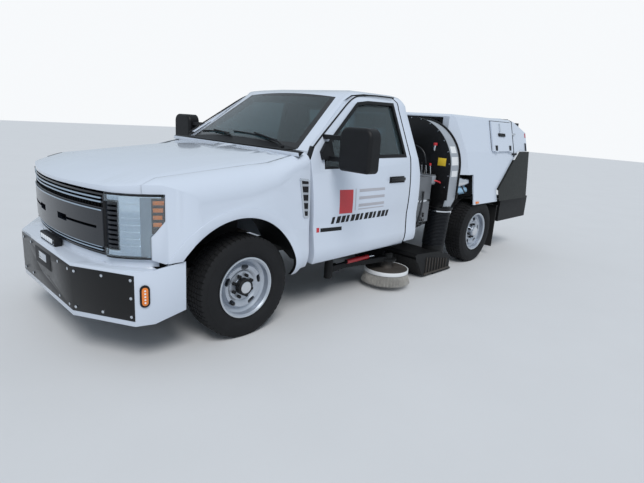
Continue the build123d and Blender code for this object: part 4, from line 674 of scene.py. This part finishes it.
window_outline = [(742, 1262), (750, 1418), (1300, 1806), (1450, 1826), (1835, 1832), (1880, 1352),
                  (1170, 1346), (1080, 1262)]
window_outer = placed([(1310 + (behind - 1310) * 1.022, 1580 + (z - 1580) * 1.045)
                       for behind, z in window_outline])
drip_line = placed([(640, 1432), (700, 1480), (980, 1672), (1262, 1868), (1450, 1892), (1700, 1899),
                    (1868, 1897)])
handle_y = cab_side(1.142)
for hand, side in sides:
    door = panels[f"door_{side}"]
    body = f"door_{side}"
    rubber = side_outline([(x, hand * (cab_side(z) - 0.012), z) for x, z in window_outer], hand, 0.032)
    bpy.ops.object.mode_set(mode="OBJECT")
    shaped(rubber, "SOLIDIFY", thickness=0.0155, offset=1)
    settle(rubber, f"window_rubber_{side}", "black_plastic", 0.002, body=body)
    moulding = [(x, hand * (cab_side(z) + 0.001), z) for x, z in drip_line]
    tube(f"roof_moulding_{side}", moulding, 0.007, "black_plastic")
    block(f"window_divider_{side}", (back(1545), hand * 0.955, 1.35), (back(1520), hand * 0.79, 1.352),
          "black_plastic", 0.0005, body=body)
    grip = [(1612, 1170), (1840, 1170), (1848, 1110), (1604, 1110)]
    laid(f"handle_recess_{side}", grip, door, "black_plastic", hand, 0.003, body=body)
    block(f"handle_pull_{side}", (back(1838), hand * (handle_y + 0.012), 1.128),
          (back(1614), hand * (handle_y + 0.032), 1.160), "black_gloss", 0.008, body=body)
    for number, behind in enumerate((1634, 1822)):
        block(f"handle_foot_{side}_{number + 1}", (back(behind + 12), hand * handle_y, 1.132),
              (back(behind - 12), hand * (handle_y + 0.02), 1.156), "black_gloss", 0.004, body=body)
    # Films: name, outline, finish
    films = [(f"red_{side}", [(918, 1086), (1092, 1080), (1096, 874), (928, 880)], "red_paint"),
             (f"upright_{side}", [(1122, 1086), (1132, 1086), (1138, 894), (1128, 894)], "pale_print")]
    # Lines: middle height, half height
    for number, (z, half) in enumerate([(1066, 13), (1000, 13), (934, 13), (900, 5)]):
        outline = [(1176, z + half), (1540, z + half - 2), (1540, z - half), (1176, z - half)]
        films.append((f"line_{side}_{number + 1}", outline, "pale_print"))
    for number in range(13):
        start = 842 + 62 * number
        end = start + (46 if number % 3 else 34)
        outline = [(start + 8, 858), (end + 8, 859), (end - 6, 800), (start - 6, 799)]
        films.append((f"stripe_{side}_{number + 1}", outline, "black_plastic"))
    films += [(f"mark_red_{side}", [(668, 784), (700, 783), (700, 745), (668, 746)], "red_paint"),
              (f"mark_black_{side}", [(714, 776), (975, 764), (975, 732), (714, 744)], "black_plastic")]
    for name, outline, key in films:
        laid(f"graphic_{name}", outline, door, key, hand, body=body)


# Fender vents: a bright surround pressed into the fender behind the wheel, round a dark panel with
# plain grey louvres
vent = [(466, 1200), (560, 1188), (572, 1172), (572, 896), (562, 882), (522, 884), (508, 898), (462, 1186)]
for hand, side in sides:
    fender = panels[f"fender_{side}"]
    laid(f"vent_back_{side}", vent, fender, "black_plastic", hand, 0.0015)
    laid(f"vent_surround_{side}", vent, fender, "chrome", hand, 0.005, ring=0.016, lift=0.001)
    for number in range(4):
        z = 1142 - 66 * number
        slope = 487 + 9 * number
        louvre = [(slope, z + 14), (558, z + 9), (558, z - 9), (slope, z - 4)]
        laid(f"vent_louvre_{side}_{number + 1}", louvre, fender, "light_grey", hand, 0.004, lift=0.001)


# Mirrors: a tall black plastic head on two arms, with a large flat glass over a small wide-angle one,
# each pressed into the head from behind
glass_x = back(862)
for hand, side in sides:
    for name, low, high in (("upper", 1.40, 1.585), ("lower", 1.295, 1.388)):
        block(f"mirror_glass_{side}_{name}", (glass_x - 0.0015, hand * 1.145, low),
              (glass_x + 0.004, hand * 1.415, high), "chrome", 0.0015, body=f"door_{side}")
    block(f"mirror_seam_{side}", (back(846), hand * 1.16, 1.386), (back(752), hand * 1.4395, 1.390),
          "black_gloss", 0.001, body=f"door_{side}")


# Seats: two broad cushions and a small middle one, foam under grey cloth, each with its back, and two
# headrests. The covers are sewn over the foam and swell between their seams
finish("seat_cloth", (0.07, 0.072, 0.078), 0.9, mottle=0.2, patch=14, grain=0.8, grain_size=1400)


def seat_pad(name, low, high, swell=0.018, lean=0.0):
    """A stuffed cushion between two corners: swollen by pressure up to a limit, then smoothed."""
    piece = cube(low, high)
    for vertex in piece.data.vertices:
        vertex.co.x -= lean * (vertex.co.z - low[2])
    edit_all()
    bpy.ops.mesh.bevel(offset=0.035, segments=3, affect="EDGES")
    bpy.ops.object.mode_set(mode="OBJECT")
    shaped(piece, "REMESH", mode="VOXEL", voxel_size=0.014)
    rest = [vertex.co.copy() for vertex in piece.data.vertices]
    cloth = piece.modifiers.new("cloth", "CLOTH")
    cloth.settings.use_pressure = True
    cloth.settings.uniform_pressure_force = 4
    cloth.settings.effector_weights.gravity = 0
    for number in range(1, 13):
        bpy.context.scene.frame_set(number)
    bpy.ops.object.modifier_apply(modifier="cloth")
    bpy.context.scene.frame_set(1)
    for vertex, start in zip(piece.data.vertices, rest):
        move = vertex.co - start
        if move.length > swell:
            vertex.co = start + move.normalized() * swell
    shaped(piece, "SMOOTH", factor=0.5, iterations=3)
    settle(piece, name, "seat_cloth", smooth=60)
    return piece


for name, y_low, y_high in (("driver", 0.10, 0.68), ("passenger", -0.68, -0.10), ("middle", -0.085, 0.085)):
    cushion = seat_pad(f"seat_cushion_{name}", (back(1625), y_low, 0.71), (back(1175), y_high, 0.925))
    seat_pad(f"seat_back_{name}", (back(1760), y_low, 0.90), (back(1650), y_high, 1.39), lean=0.11)
    if name == "driver":
        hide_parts("seats")
for name, y in (("driver", 0.45), ("passenger", -0.45)):
    seat_pad(f"headrest_{name}", (back(1830), y - 0.12, 1.43), (back(1755), y + 0.12, 1.565), 0.01)


# Wheels: pressed steel rims with eight dark nuts round a bright centre, a black hub ring on the front
# pair, and rubber tyres with a block tread moulded round the carcass
finish("tyre_rubber", (0.011, 0.0115, 0.013), 0.75, mottle=0.25, patch=9, grain=0.5, grain_size=500,
       shine=0.25)


def turning(name, profile, centre, axis, key, steps=40, edge=0.0, body="chassis"):
    """A ring turned about an axis, from a closed profile of (radius, along) points."""
    centre = Vector(centre)
    axis = Vector(axis).normalized()
    out = axis.orthogonal().normalized()
    piece = outline_mesh([centre + out * radius + axis * along for radius, along in profile], "NOTHING")
    edit_all()
    bpy.ops.mesh.spin(steps=steps, angle=2 * pi, center=centre, axis=axis)
    bpy.ops.mesh.select_all(action="SELECT")
    bpy.ops.mesh.remove_doubles(threshold=0.00003)
    bpy.ops.mesh.delete_loose(use_verts=True, use_edges=True, use_faces=False)
    bpy.ops.object.mode_set(mode="OBJECT")
    face_outwards(piece)
    return settle(piece, name, key, edge, body=body)


def ring_of(piece, centre, axis, count):
    """Repeats a piece's mesh all round an axis."""
    shift = Matrix.Translation(Vector(centre))
    step = shift @ Matrix.Rotation(2 * pi / count, 4, Vector(axis)) @ shift.inverted()
    copies = [piece]
    placing = Matrix.Identity(4)
    for number in range(1, count):
        placing = step @ placing
        copy = bpy.data.objects.new(piece.name, piece.data.copy())
        copy.data.transform(placing)
        bpy.context.collection.objects.link(copy)
        copies.append(copy)
    return joined(copies)


def tread_lug(centre, hand, inner, outer, long, slant):
    """One block of the tread at the top of the tyre; the outermost rows reach down over the shoulder."""
    lug = cube((-1, -1, -1), (1, 1, 1))
    for vertex in lug.data.vertices:
        end, top = vertex.co.x, vertex.co.z > 0
        across = outer if vertex.co.y > 0 else inner
        shoulder = abs(across) > 0.09
        radius = (0.3895 if top else 0.366) if shoulder else (0.3932 if top else 0.380)
        spread = (0.5 if top else 0.56) * long * end + slant * (across - (inner + outer) / 2)
        reach = across * (1.10 if shoulder and not top else 1.0)
        vertex.co = centre + Vector((spread, hand * reach, radius))
    return lug


# Tread rows: blocks round the tyre, inner edge and outer edge across, length along the tread, turn
tread_rows = [(56, 0.058, 0.100, 0.036, 0.0), (60, 0.022, 0.050, 0.033, 0.25),
              (60, -0.014, 0.014, 0.035, 0.0), (60, -0.050, -0.022, 0.033, -0.25),
              (56, -0.100, -0.058, 0.036, 0.0)]
carcass = [(0.2185, -0.096), (0.2185, 0.096), (0.240, 0.099), (0.256, 0.1045), (0.2575, 0.108),
           (0.272, 0.115), (0.290, 0.1205), (0.305, 0.122), (0.345, 0.119), (0.3465, 0.1165),
           (0.360, 0.113), (0.376, 0.106), (0.385, 0.088), (0.3865, 0.06)]
carcass += [(radius, -across) for radius, across in reversed(carcass[2:])]
rim_bead = [(0.2245, 0.1035), (0.2355, 0.1035), (0.2365, 0.1072), (0.233, 0.109), (0.2245, 0.1075)]
hub_ring = [(0.064, 0.050), (0.064, 0.096), (0.058, 0.101), (0.045, 0.101), (0.045, 0.05)]
hub_caps = {"front": [(0.0, 0.088), (0.046, 0.088), (0.046, 0.103), (0.040, 0.107), (0.0, 0.108)],
            "rear": [(0.0, 0.085), (0.060, 0.085), (0.060, 0.098), (0.052, 0.1045), (0.032, 0.107),
                     (0.0, 0.1072)]}
nut_angles = [pi * (number + 0.5) / 4 for number in range(8)]
axle_height, nut_circle, nut_face = 0.394, 0.085, 0.044
rear_axle_x = (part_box("tyre_rear_left")[0].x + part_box("tyre_rear_left")[1].x) / 2
for place, axle_x, middle in (("front", front_axle_x, 0.8675), ("rear", rear_axle_x, 0.8535)):
    for hand, side in sides:
        end, body = f"{place}_{side}", f"wheel_{place}_{side}"
        centre = Vector((axle_x, hand * middle, axle_height))
        outward = Vector((0, hand, 0))
        tyre = turning(f"tyre_carcass_{end}", carcass, centre, outward, "tyre_rubber", 72, body=body)
        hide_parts(f"tyre_{end}")
        rows = [ring_of(tread_lug(centre, hand, *row), centre, outward, count) for count, *row in tread_rows]
        tread = joined(rows)
        face_outwards(tread)
        settle(tread, f"tread_{end}", "tyre_rubber", body=body)
        nuts = []
        for angle in nut_angles:
            arm = Vector((nut_circle * cos(angle), 0, nut_circle * sin(angle)))
            nuts.append((centre + outward * nut_face + arm, outward))
        studs(f"wheel_nuts_{end}", nuts, 0.0145, 0.026, "chassis_black", body=body)
        if place == "front":
            turning(f"hub_ring_{end}", hub_ring, centre, outward, "chassis_black", 36, body=body)
        turning(f"hub_cap_{end}", hub_caps[place], centre, outward, "steel_rod", 36, body=body)
        turning(f"rim_bead_{end}", rim_bead, centre, outward, "chrome", 64, body=body)


# Blower: a welded steel scroll in grey between two larger dark plates, bolted round its edge, with blank
# stick-on plates on its rim and a red-capped vent stub
finish("yellow_paint", (0.72, 0.50, 0.03), 0.4, coat=0.2, mottle=0.1, patch=9, grain=0.2)
finish("white_label", (0.70, 0.72, 0.74), 0.45, mottle=0.05, patch=12, grain=0.1)
finish("hose_rubber", (0.010, 0.0115, 0.015), 0.34, mottle=0.2, patch=8, grain=0.3)


def on_scroll(centre, normal):
    """Whether a face is on the scroll's wall, between the two plates."""
    return 1 if back(2837) < centre.x < back(2633) and abs(normal.x) < 0.5 and centre.z > 0.80 else 0


blower = dressed("blower_housing", [finishes["black_gloss"], finishes["light_grey"]], 0.002,
                 angle=30, choose=on_scroll)
plate_front = back(2620)
scroll_y, scroll_z, bolt_circle = 0.5, 1.2, 0.535
rim_bolts = []
for number in range(15):
    angle = radians(-20 + 14 * number)
    y, z = scroll_y + bolt_circle * cos(angle), scroll_z + bolt_circle * sin(angle)
    if z > 1.0:
        rim_bolts.append(((plate_front, y, z), (1, 0, 0)))
studs("blower_bolts", rim_bolts, 0.0075, 0.006, "steel_rod")
block("blower_plate_yellow", (plate_front - 0.0005, 0.885, 1.245), (plate_front + 0.0012, 0.985, 1.328),
      "yellow_paint", 0.0004)
# White plates: lower edge, upper edge, rear edge, front edge
white_plates = [(1385, 1455, 2810, 2700), (1255, 1345, 2825, 2690), (1130, 1195, 2820, 2700)]
for number, (low, high, rear, front) in enumerate(white_plates):
    laid(f"blower_plate_white_{number + 1}", [(rear, low), (front, low), (front, high), (rear, high)], blower,
         "white_label", 1, 0.0008)
tube("blower_vent_stub", [(back(2610), 0.84, 1.40), (back(2590), 0.84, 1.40), (back(2585), 0.845, 1.43),
                          (back(2585), 0.85, 1.46)], 0.012, "steel_rod")
studs("blower_vent_cap", [((back(2585), 0.85, 1.455), upward)], 0.022, 0.03, "red_paint", 14)
blower_hose = [(back(2560), y, z) for y, z in ((0.50, 1.43), (0.60, 1.445), (0.70, 1.41), (0.76, 1.33),
                                               (0.78, 1.20))]
tube("blower_hose", blower_hose + [(back(2500), 0.80, 1.12)], 0.009, "hose_rubber")


# Hoses: two black rubber hoses with a wire coil under the rubber, clamped at the head's ports and to the
# ducts above
hose_bottom, hose_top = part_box("pressure_hose")[0].z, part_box("pressure_hose")[1].z
hose_long = hose_top - hose_bottom
hose_ribs = 26
pitch = hose_long / hose_ribs
hose_profile = [(0.112, 0.0)]
for number in range(hose_ribs):
    base = pitch * number
    hose_profile += [(0.120, base + 0.0005), (0.1235, base + 0.18 * pitch), (0.1305, base + 0.38 * pitch),
                     (0.1305, base + 0.66 * pitch), (0.1235, base + 0.86 * pitch)]
hose_profile += [(0.120, hose_long), (0.112, hose_long)]
hose_clamp = [(0.1325, 0), (0.137, 0), (0.137, 0.014), (0.1325, 0.014)]
# Ends: node, foot behind the front axle, foot Y, top behind, top Y
hose_ends = [("pressure_hose", 2770, 0.860, 2740, 0.905), ("suction_hose", 2740, -0.740, 2740, -0.740)]
for node, foot_behind, foot_y, top_behind, top_y in hose_ends:
    foot_x, top_x = back(foot_behind), back(top_behind)
    hose = turning(f"{node}_ribbed", hose_profile, (foot_x, foot_y, hose_bottom), upward, "hose_rubber", 44,
                   body=None)
    for vertex in hose.data.vertices:
        share = (vertex.co.z - hose_bottom) / hose_long
        vertex.co.x += share * (top_x - foot_x)
        vertex.co.y += share * (top_y - foot_y)
    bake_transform(hose)
    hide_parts(node)
    turning(f"{node}_clamp", hose_clamp, (top_x, top_y, hose_top - 0.03), upward, "steel_rod", 44)


# Hydraulics: a grey oil tank with its filler and gauge, a valve block with levers, and black hoses that
# hang in loops beside the cab
finish("cast_steel", (0.07, 0.062, 0.056), 0.7, metal=0.4, mottle=0.4, patch=9, grain=0.7, grain_size=260)
tank_low, tank_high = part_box("hydraulic_tank")
valve_low, valve_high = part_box("valve_block")
cap = (back(2256), 0.885, 0.955)
studs("tank_filler", [((back(2330), 0.80, tank_high.z), upward)], 0.035, 0.03, "black_plastic", 20)
studs("tank_cap_yellow", [(cap, (0.2, 0, 1))], 0.02, 0.028, "yellow_paint", 16)
tube("tank_neck", [(back(2262), 0.86, 0.90), (back(2256), 0.88, 0.93), cap], 0.012, "cast_steel")
block("tank_gauge", (tank_high.x, 0.80, 0.80), (tank_high.x + 0.012, 0.83, 1.0), "white_label")
block("tank_strap_front", (tank_low.x - 0.002, tank_low.y, 0.86),
      (tank_high.x + 0.003, tank_high.y + 0.003, 0.885), "steel_rod", 0.001)
block("tank_label", (tank_high.x, 0.84, 1.045), (tank_high.x + 0.0012, 0.905, 1.10), "white_label", 0.0004)
block("valve_sections", (valve_low.x - 0.006, valve_low.y + 0.012, valve_low.z + 0.012),
      (valve_high.x + 0.006, valve_high.y + 0.006, valve_high.z - 0.012), "light_grey", 0.004)
for number in range(3):
    y = 0.75 + 0.055 * number
    lever = [(back(2540), y, valve_high.z - 0.01), (back(2530), y, valve_high.z + 0.05),
             (back(2515), y, valve_high.z + 0.10)]
    tube(f"valve_lever_{number + 1}", lever, 0.006, "steel_rod")
    studs(f"valve_knob_{number + 1}", [((back(2515), y, valve_high.z + 0.095), (0.2, 0, 1))], 0.012, 0.026,
          "red_paint" if number == 2 else "black_plastic", 14)
    fitting = [(back(2545), y, valve_low.z + 0.02), (back(2545), y, valve_low.z - 0.04)]
    tube(f"valve_fitting_{number + 1}", fitting, 0.013, "steel_rod", smooth=False)
tube("red_handle", [(back(2560), 0.90, 1.08), (back(2590), 0.94, 1.08), (back(2640), 0.95, 1.05)], 0.009,
     "red_paint")
# Hanging hoses: start and end as behind, Y and height, how far the loop sags
hanging = [((2545, 0.75, 0.995), (2360, 0.94, 0.70), 0.10), ((2545, 0.805, 0.995), (2300, 0.945, 0.66), 0.14),
           ((2545, 0.86, 0.995), (2240, 0.935, 0.62), 0.17), ((2325, 0.935, 0.98), (2180, 0.94, 0.52), 0.06)]
for number, (start, end, sag) in enumerate(hanging):
    first = Vector((back(start[0]), *start[1:]))
    last = Vector((back(end[0]), *end[1:]))
    droop = Vector((0, 0.02, -sag))
    loop = [first, first - upward * 0.06, first.lerp(last, 0.3) + droop, first.lerp(last, 0.65) + droop,
            last + upward * 0.05, last]
    tube(f"oil_hose_{number + 1}", loop, 0.011, "hose_rubber")
tube("turnbuckle_rod", [(back(2150), 0.93, 0.50), (back(2195), 0.93, 0.72)], 0.010, "red_paint", smooth=False)
tube("turnbuckle_body", [(back(2160), 0.93, 0.555), (back(2185), 0.93, 0.665)], 0.017, "red_paint",
     smooth=False)
block("turnbuckle_bracket", (back(2225), 0.46, 0.70), (back(2165), 0.945, 0.73), "chassis_black", 0.004)


# Hopper hardware: a black seal at the rear joint, a rubber edge round the access door with its hinges and
# latch, side latches, marker lamps, and two gas bottles strapped under the raised front with their hoses
finish("blue_enamel", (0.25, 0.42, 0.58), 0.35, coat=0.3, mottle=0.12, patch=9, grain=0.2)


def hopper_side(z):
    """How far the hopper's side stands from the middle at a height."""
    if z > 1.390:
        return 0.900 - 0.100 * (z - 1.390) / 0.390
    return 0.995 - 0.095 * (z - 0.757) / 0.633


joint_x = back(4500)
for hand, side in sides:
    seal = [(joint_x, hand * hopper_side(z), z) for z in (1.325, 1.390)]
    seal += [(joint_x, hand * 0.800, 1.780), (joint_x, hand * 0.745, 1.8055)]
    tube(f"rear_seal_{side}", seal, 0.0075, "black_plastic", smooth=False, body="hopper")
    for number, (z, key) in enumerate(((1.36, "chassis_black"), (1.62, "steel_rod"))):
        block(f"gate_latch_{side}_{number + 1}", (back(4560), hand * hopper_side(z), z - 0.012),
              (back(4440), hand * (hopper_side(z) + 0.022), z + 0.012), key, body="hopper")
    laid(f"gate_hook_{side}", [(4885, 1505), (4905, 1505), (4905, 1400), (4885, 1400)], panels["tailgate"],
         "chassis_black", hand, 0.012, body="tailgate")
    laid(f"gate_reflector_{side}", [(4905, 1640), (4935, 1640), (4935, 1580), (4905, 1580)],
         panels["tailgate"], "red_paint", hand, 0.002, body="tailgate")
    block(f"skirt_marker_{side}", (back(3500), hand * 0.985, 0.768), (back(3430), hand * 1.004, 0.795),
          "amber_lens", 0.004, body="hopper")
tube("rear_seal_top", [(joint_x, 0.745, 1.8055), (joint_x, -0.745, 1.8055)], 0.0075, "black_plastic",
     smooth=False, body="hopper")
laid("access_seal", [(3846, 1402), (3846, 1771), (4444, 1771), (4444, 1402)], panels["hopper"],
     "black_plastic", 1, 0.004, ring=0.006, cut=0.4, body="hopper")
# Access door fittings: name, outline, finish, how far it stands out
latch = [(4020, 1622), (4200, 1618), (4200, 1582), (4020, 1586)]
fittings = [("access_bar", [(4052, 1742), (4072, 1742), (4072, 1640), (4052, 1640)], "steel_rod", 0.012),
            ("access_latch", latch, "chassis_black", 0.015)]
for number, behind in enumerate((3945, 4345)):
    leaf = [(behind - 30, 1470), (behind + 30, 1470), (behind + 22, 1408), (behind - 22, 1408)]
    fittings.append((f"access_hinge_{number + 1}", leaf, "chassis_black", 0.006))
for name, outline, key, thick in fittings:
    laid(name, outline, panels["access_door"], key, 1, thick, body="access_door")
block("gate_sensor_box", (back(4950), 0.60, 1.652), (back(4850), 0.72, 1.775), "black_plastic", 0.006,
      body="tailgate")
bottle = [(0, -0.14), (0.052, -0.14), (0.058, -0.12), (0.058, 0.12), (0.045, 0.15), (0, 0.15)]
small_bottle = [(0, -0.12), (0.04, -0.12), (0.046, -0.10), (0.046, 0.10), (0.04, 0.12), (0, 0.12)]
turning("accumulator", bottle, (back(3180), 0.87, 1.03), (1, 0, 0), "steel_rod", 32, body="hopper")
turning("accumulator_lower", small_bottle, (back(3200), 0.87, 0.93), (1, 0, 0), "blue_enamel", 32,
        body="hopper")
for number, behind in enumerate((3100, 3280)):
    block(f"accumulator_strap_{number + 1}", (back(behind + 12), 0.815, 0.90),
          (back(behind - 12), 0.822, 1.119), "chassis_black", 0.002, body="hopper")
    hose = [(back(behind - 60), 0.80, 1.10), (back(behind - 90), 0.90, 1.0), (back(behind - 60), 0.92, 0.92),
            (back(behind + 30), 0.90, 0.90)]
    tube(f"front_hose_{number + 1}", hose, 0.010, "hose_rubber", body="hopper")


# Pickup head: its side plates are stiffened with short welded ribs and carry a hard steel skid
for hand, side in sides:
    for number in range(8):
        behind = 2470 + 60 * number
        block(f"head_rib_{side}_{number + 1}", (back(behind + 5), hand * 0.984, 0.05),
              (back(behind - 5), hand * 0.996, 0.235 - 0.010 * number), "cast_steel", 0.002,
              body="pickup_head")
    block(f"head_shoe_{side}", (back(2975), hand * 0.984, 0.031), (back(2440), hand * 0.993, 0.052),
          "cast_steel", 0.002, body="pickup_head")


# Side broom: a steel plate with a white metal band at its rim, and tufts of pale steel and plastic bristle
# that lean outwards. A motor turns it under the arm
finish("bristle", (0.36, 0.35, 0.33), 0.7, mottle=0.35, patch=30, grain=0.6)
broom_x, broom_y = back(1890), 0.866
broom_foot = (broom_x, broom_y, 0)
plate = turning("broom_plate",
                [(0, 0.168), (0.222, 0.168), (0.222, 0.194), (0.06, 0.197), (0.045, 0.275), (0, 0.275)],
                broom_foot, upward, "cast_steel", 48, 0.002, body="broom")
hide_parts("broom")
turning("broom_band", [(0.219, 0.158), (0.229, 0.158), (0.2295, 0.196), (0.219, 0.196)], broom_foot, upward,
        "white_label", 56, 0.001, body="broom")
# Bristle rows: root radius, tip radius, tufts round the row, wires in a tuft
bristle_rows = [(0.214, 0.255, 46, 6), (0.198, 0.236, 42, 6), (0.176, 0.206, 36, 5)]
tip_height, root_height, wire_gap = 0.0505, 0.165, 0.0052
for row, (root, tip, tufts, wires) in enumerate(bristle_rows):
    strands = []
    for wire in range(wires):
        spread = (wire - (wires - 1) / 2) * wire_gap
        droop = 0.004 * ((wire * 7) % 3)
        bpy.ops.mesh.primitive_cylinder_add(vertices=4, radius=0.0022, depth=1, end_fill_type="TRIFAN")
        strand = bpy.context.object
        for vertex in strand.data.vertices:
            if vertex.co.z < 0:
                reach, thin, fan, z = tip - droop, 0.7, 1.5, tip_height + droop
            else:
                reach, thin, fan, z = root, 1.0, 1.0, root_height
            vertex.co = (broom_x + reach + thin * vertex.co.x, broom_y + spread * fan + thin * vertex.co.y, z)
        strands.append(strand)
    tuft = joined(strands)
    settle(ring_of(tuft, broom_foot, upward, tufts), f"bristles_{row + 1}", "bristle", body="broom")
tube("broom_ram", [(back(1290), 0.824, 0.344), (back(1610), 0.826, 0.344)], 0.0225, "red_paint", smooth=False,
     body="broom_arm")
tube("broom_ram_rod", [(back(1600), 0.826, 0.344), (back(1690), 0.835, 0.344)], 0.011, "steel_rod",
     smooth=False, body="broom_arm")
studs("broom_motor_cap", [((broom_x, broom_y, 0.3445), upward)], 0.046, 0.012, "chassis_black", 24,
      body="broom_arm")


# Tail lamps: a red, an amber and a clear moulded lens side by side in the bumper's face on each side
finish("red_lens", (0.45, 0.015, 0.012), 0.2, coat=0.8, patch=30, grain=0.5, grain_size=300)
lamp_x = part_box("tail_lamps")[0].x
for hand, side in sides:
    for number, key in enumerate(("red_lens", "amber_lens", "led_white")):
        y = 0.745 + 0.058 * number
        lamp = block(f"tail_lamp_{side}_{number + 1}", (lamp_x, hand * y, 0.553),
                     (lamp_x + 0.008, hand * (y + 0.052), 0.627), key, 0.004)
        if lamp.name == "tail_lamp_left_1":
            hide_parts("tail_lamps")


# The rest shows as it is packed: welded and cast steel in black or bare, the grey oil tank, pressed rims,
# moulded grille and cabin trims, rubber flaps and the door and rear glass. Each takes its slot's finish
finish("grille_plastic", (0.010, 0.013, 0.019), 0.24, coat=0.25, mottle=0.15, patch=5, shine=0.4)
finish("rim_silver", (0.46, 0.50, 0.56), 0.33, metal=0.7, coat=0.2, mottle=0.12, patch=12, grain=0.2)
finish("grey_enamel", (0.12, 0.13, 0.145), 0.4, coat=0.2, mottle=0.2, patch=8, grain=0.3, key="tank_grey")
finish("flap_rubber", (0.015, 0.015, 0.016), 0.6, mottle=0.25, patch=7, grain=0.4, grain_size=400)
tinted_glass("window_glass", (0.22, 0.30, 0.33))
finish("olive_black", (0.007, 0.008, 0.006), 0.4, mottle=0.3, patch=3, grain=0.2, shine=0.25)
finish("engine_grey", (0.05, 0.05, 0.052), 0.65, metal=0.3, mottle=0.4, patch=6, grain=0.6)
own_finish = {"engine_block": "engine_grey", "side_fairings": "olive_black",
              "steering_wheel": "black_plastic", "dashboard": "black_plastic"}
for part in frame["record"]["subparts"]:
    if part["node"] not in panels and part["node"] != "windshield":
        for slot in nodes[part["node"]].material_slots:
            slot.material = finishes[own_finish.get(part["node"], part["material_slot"])]
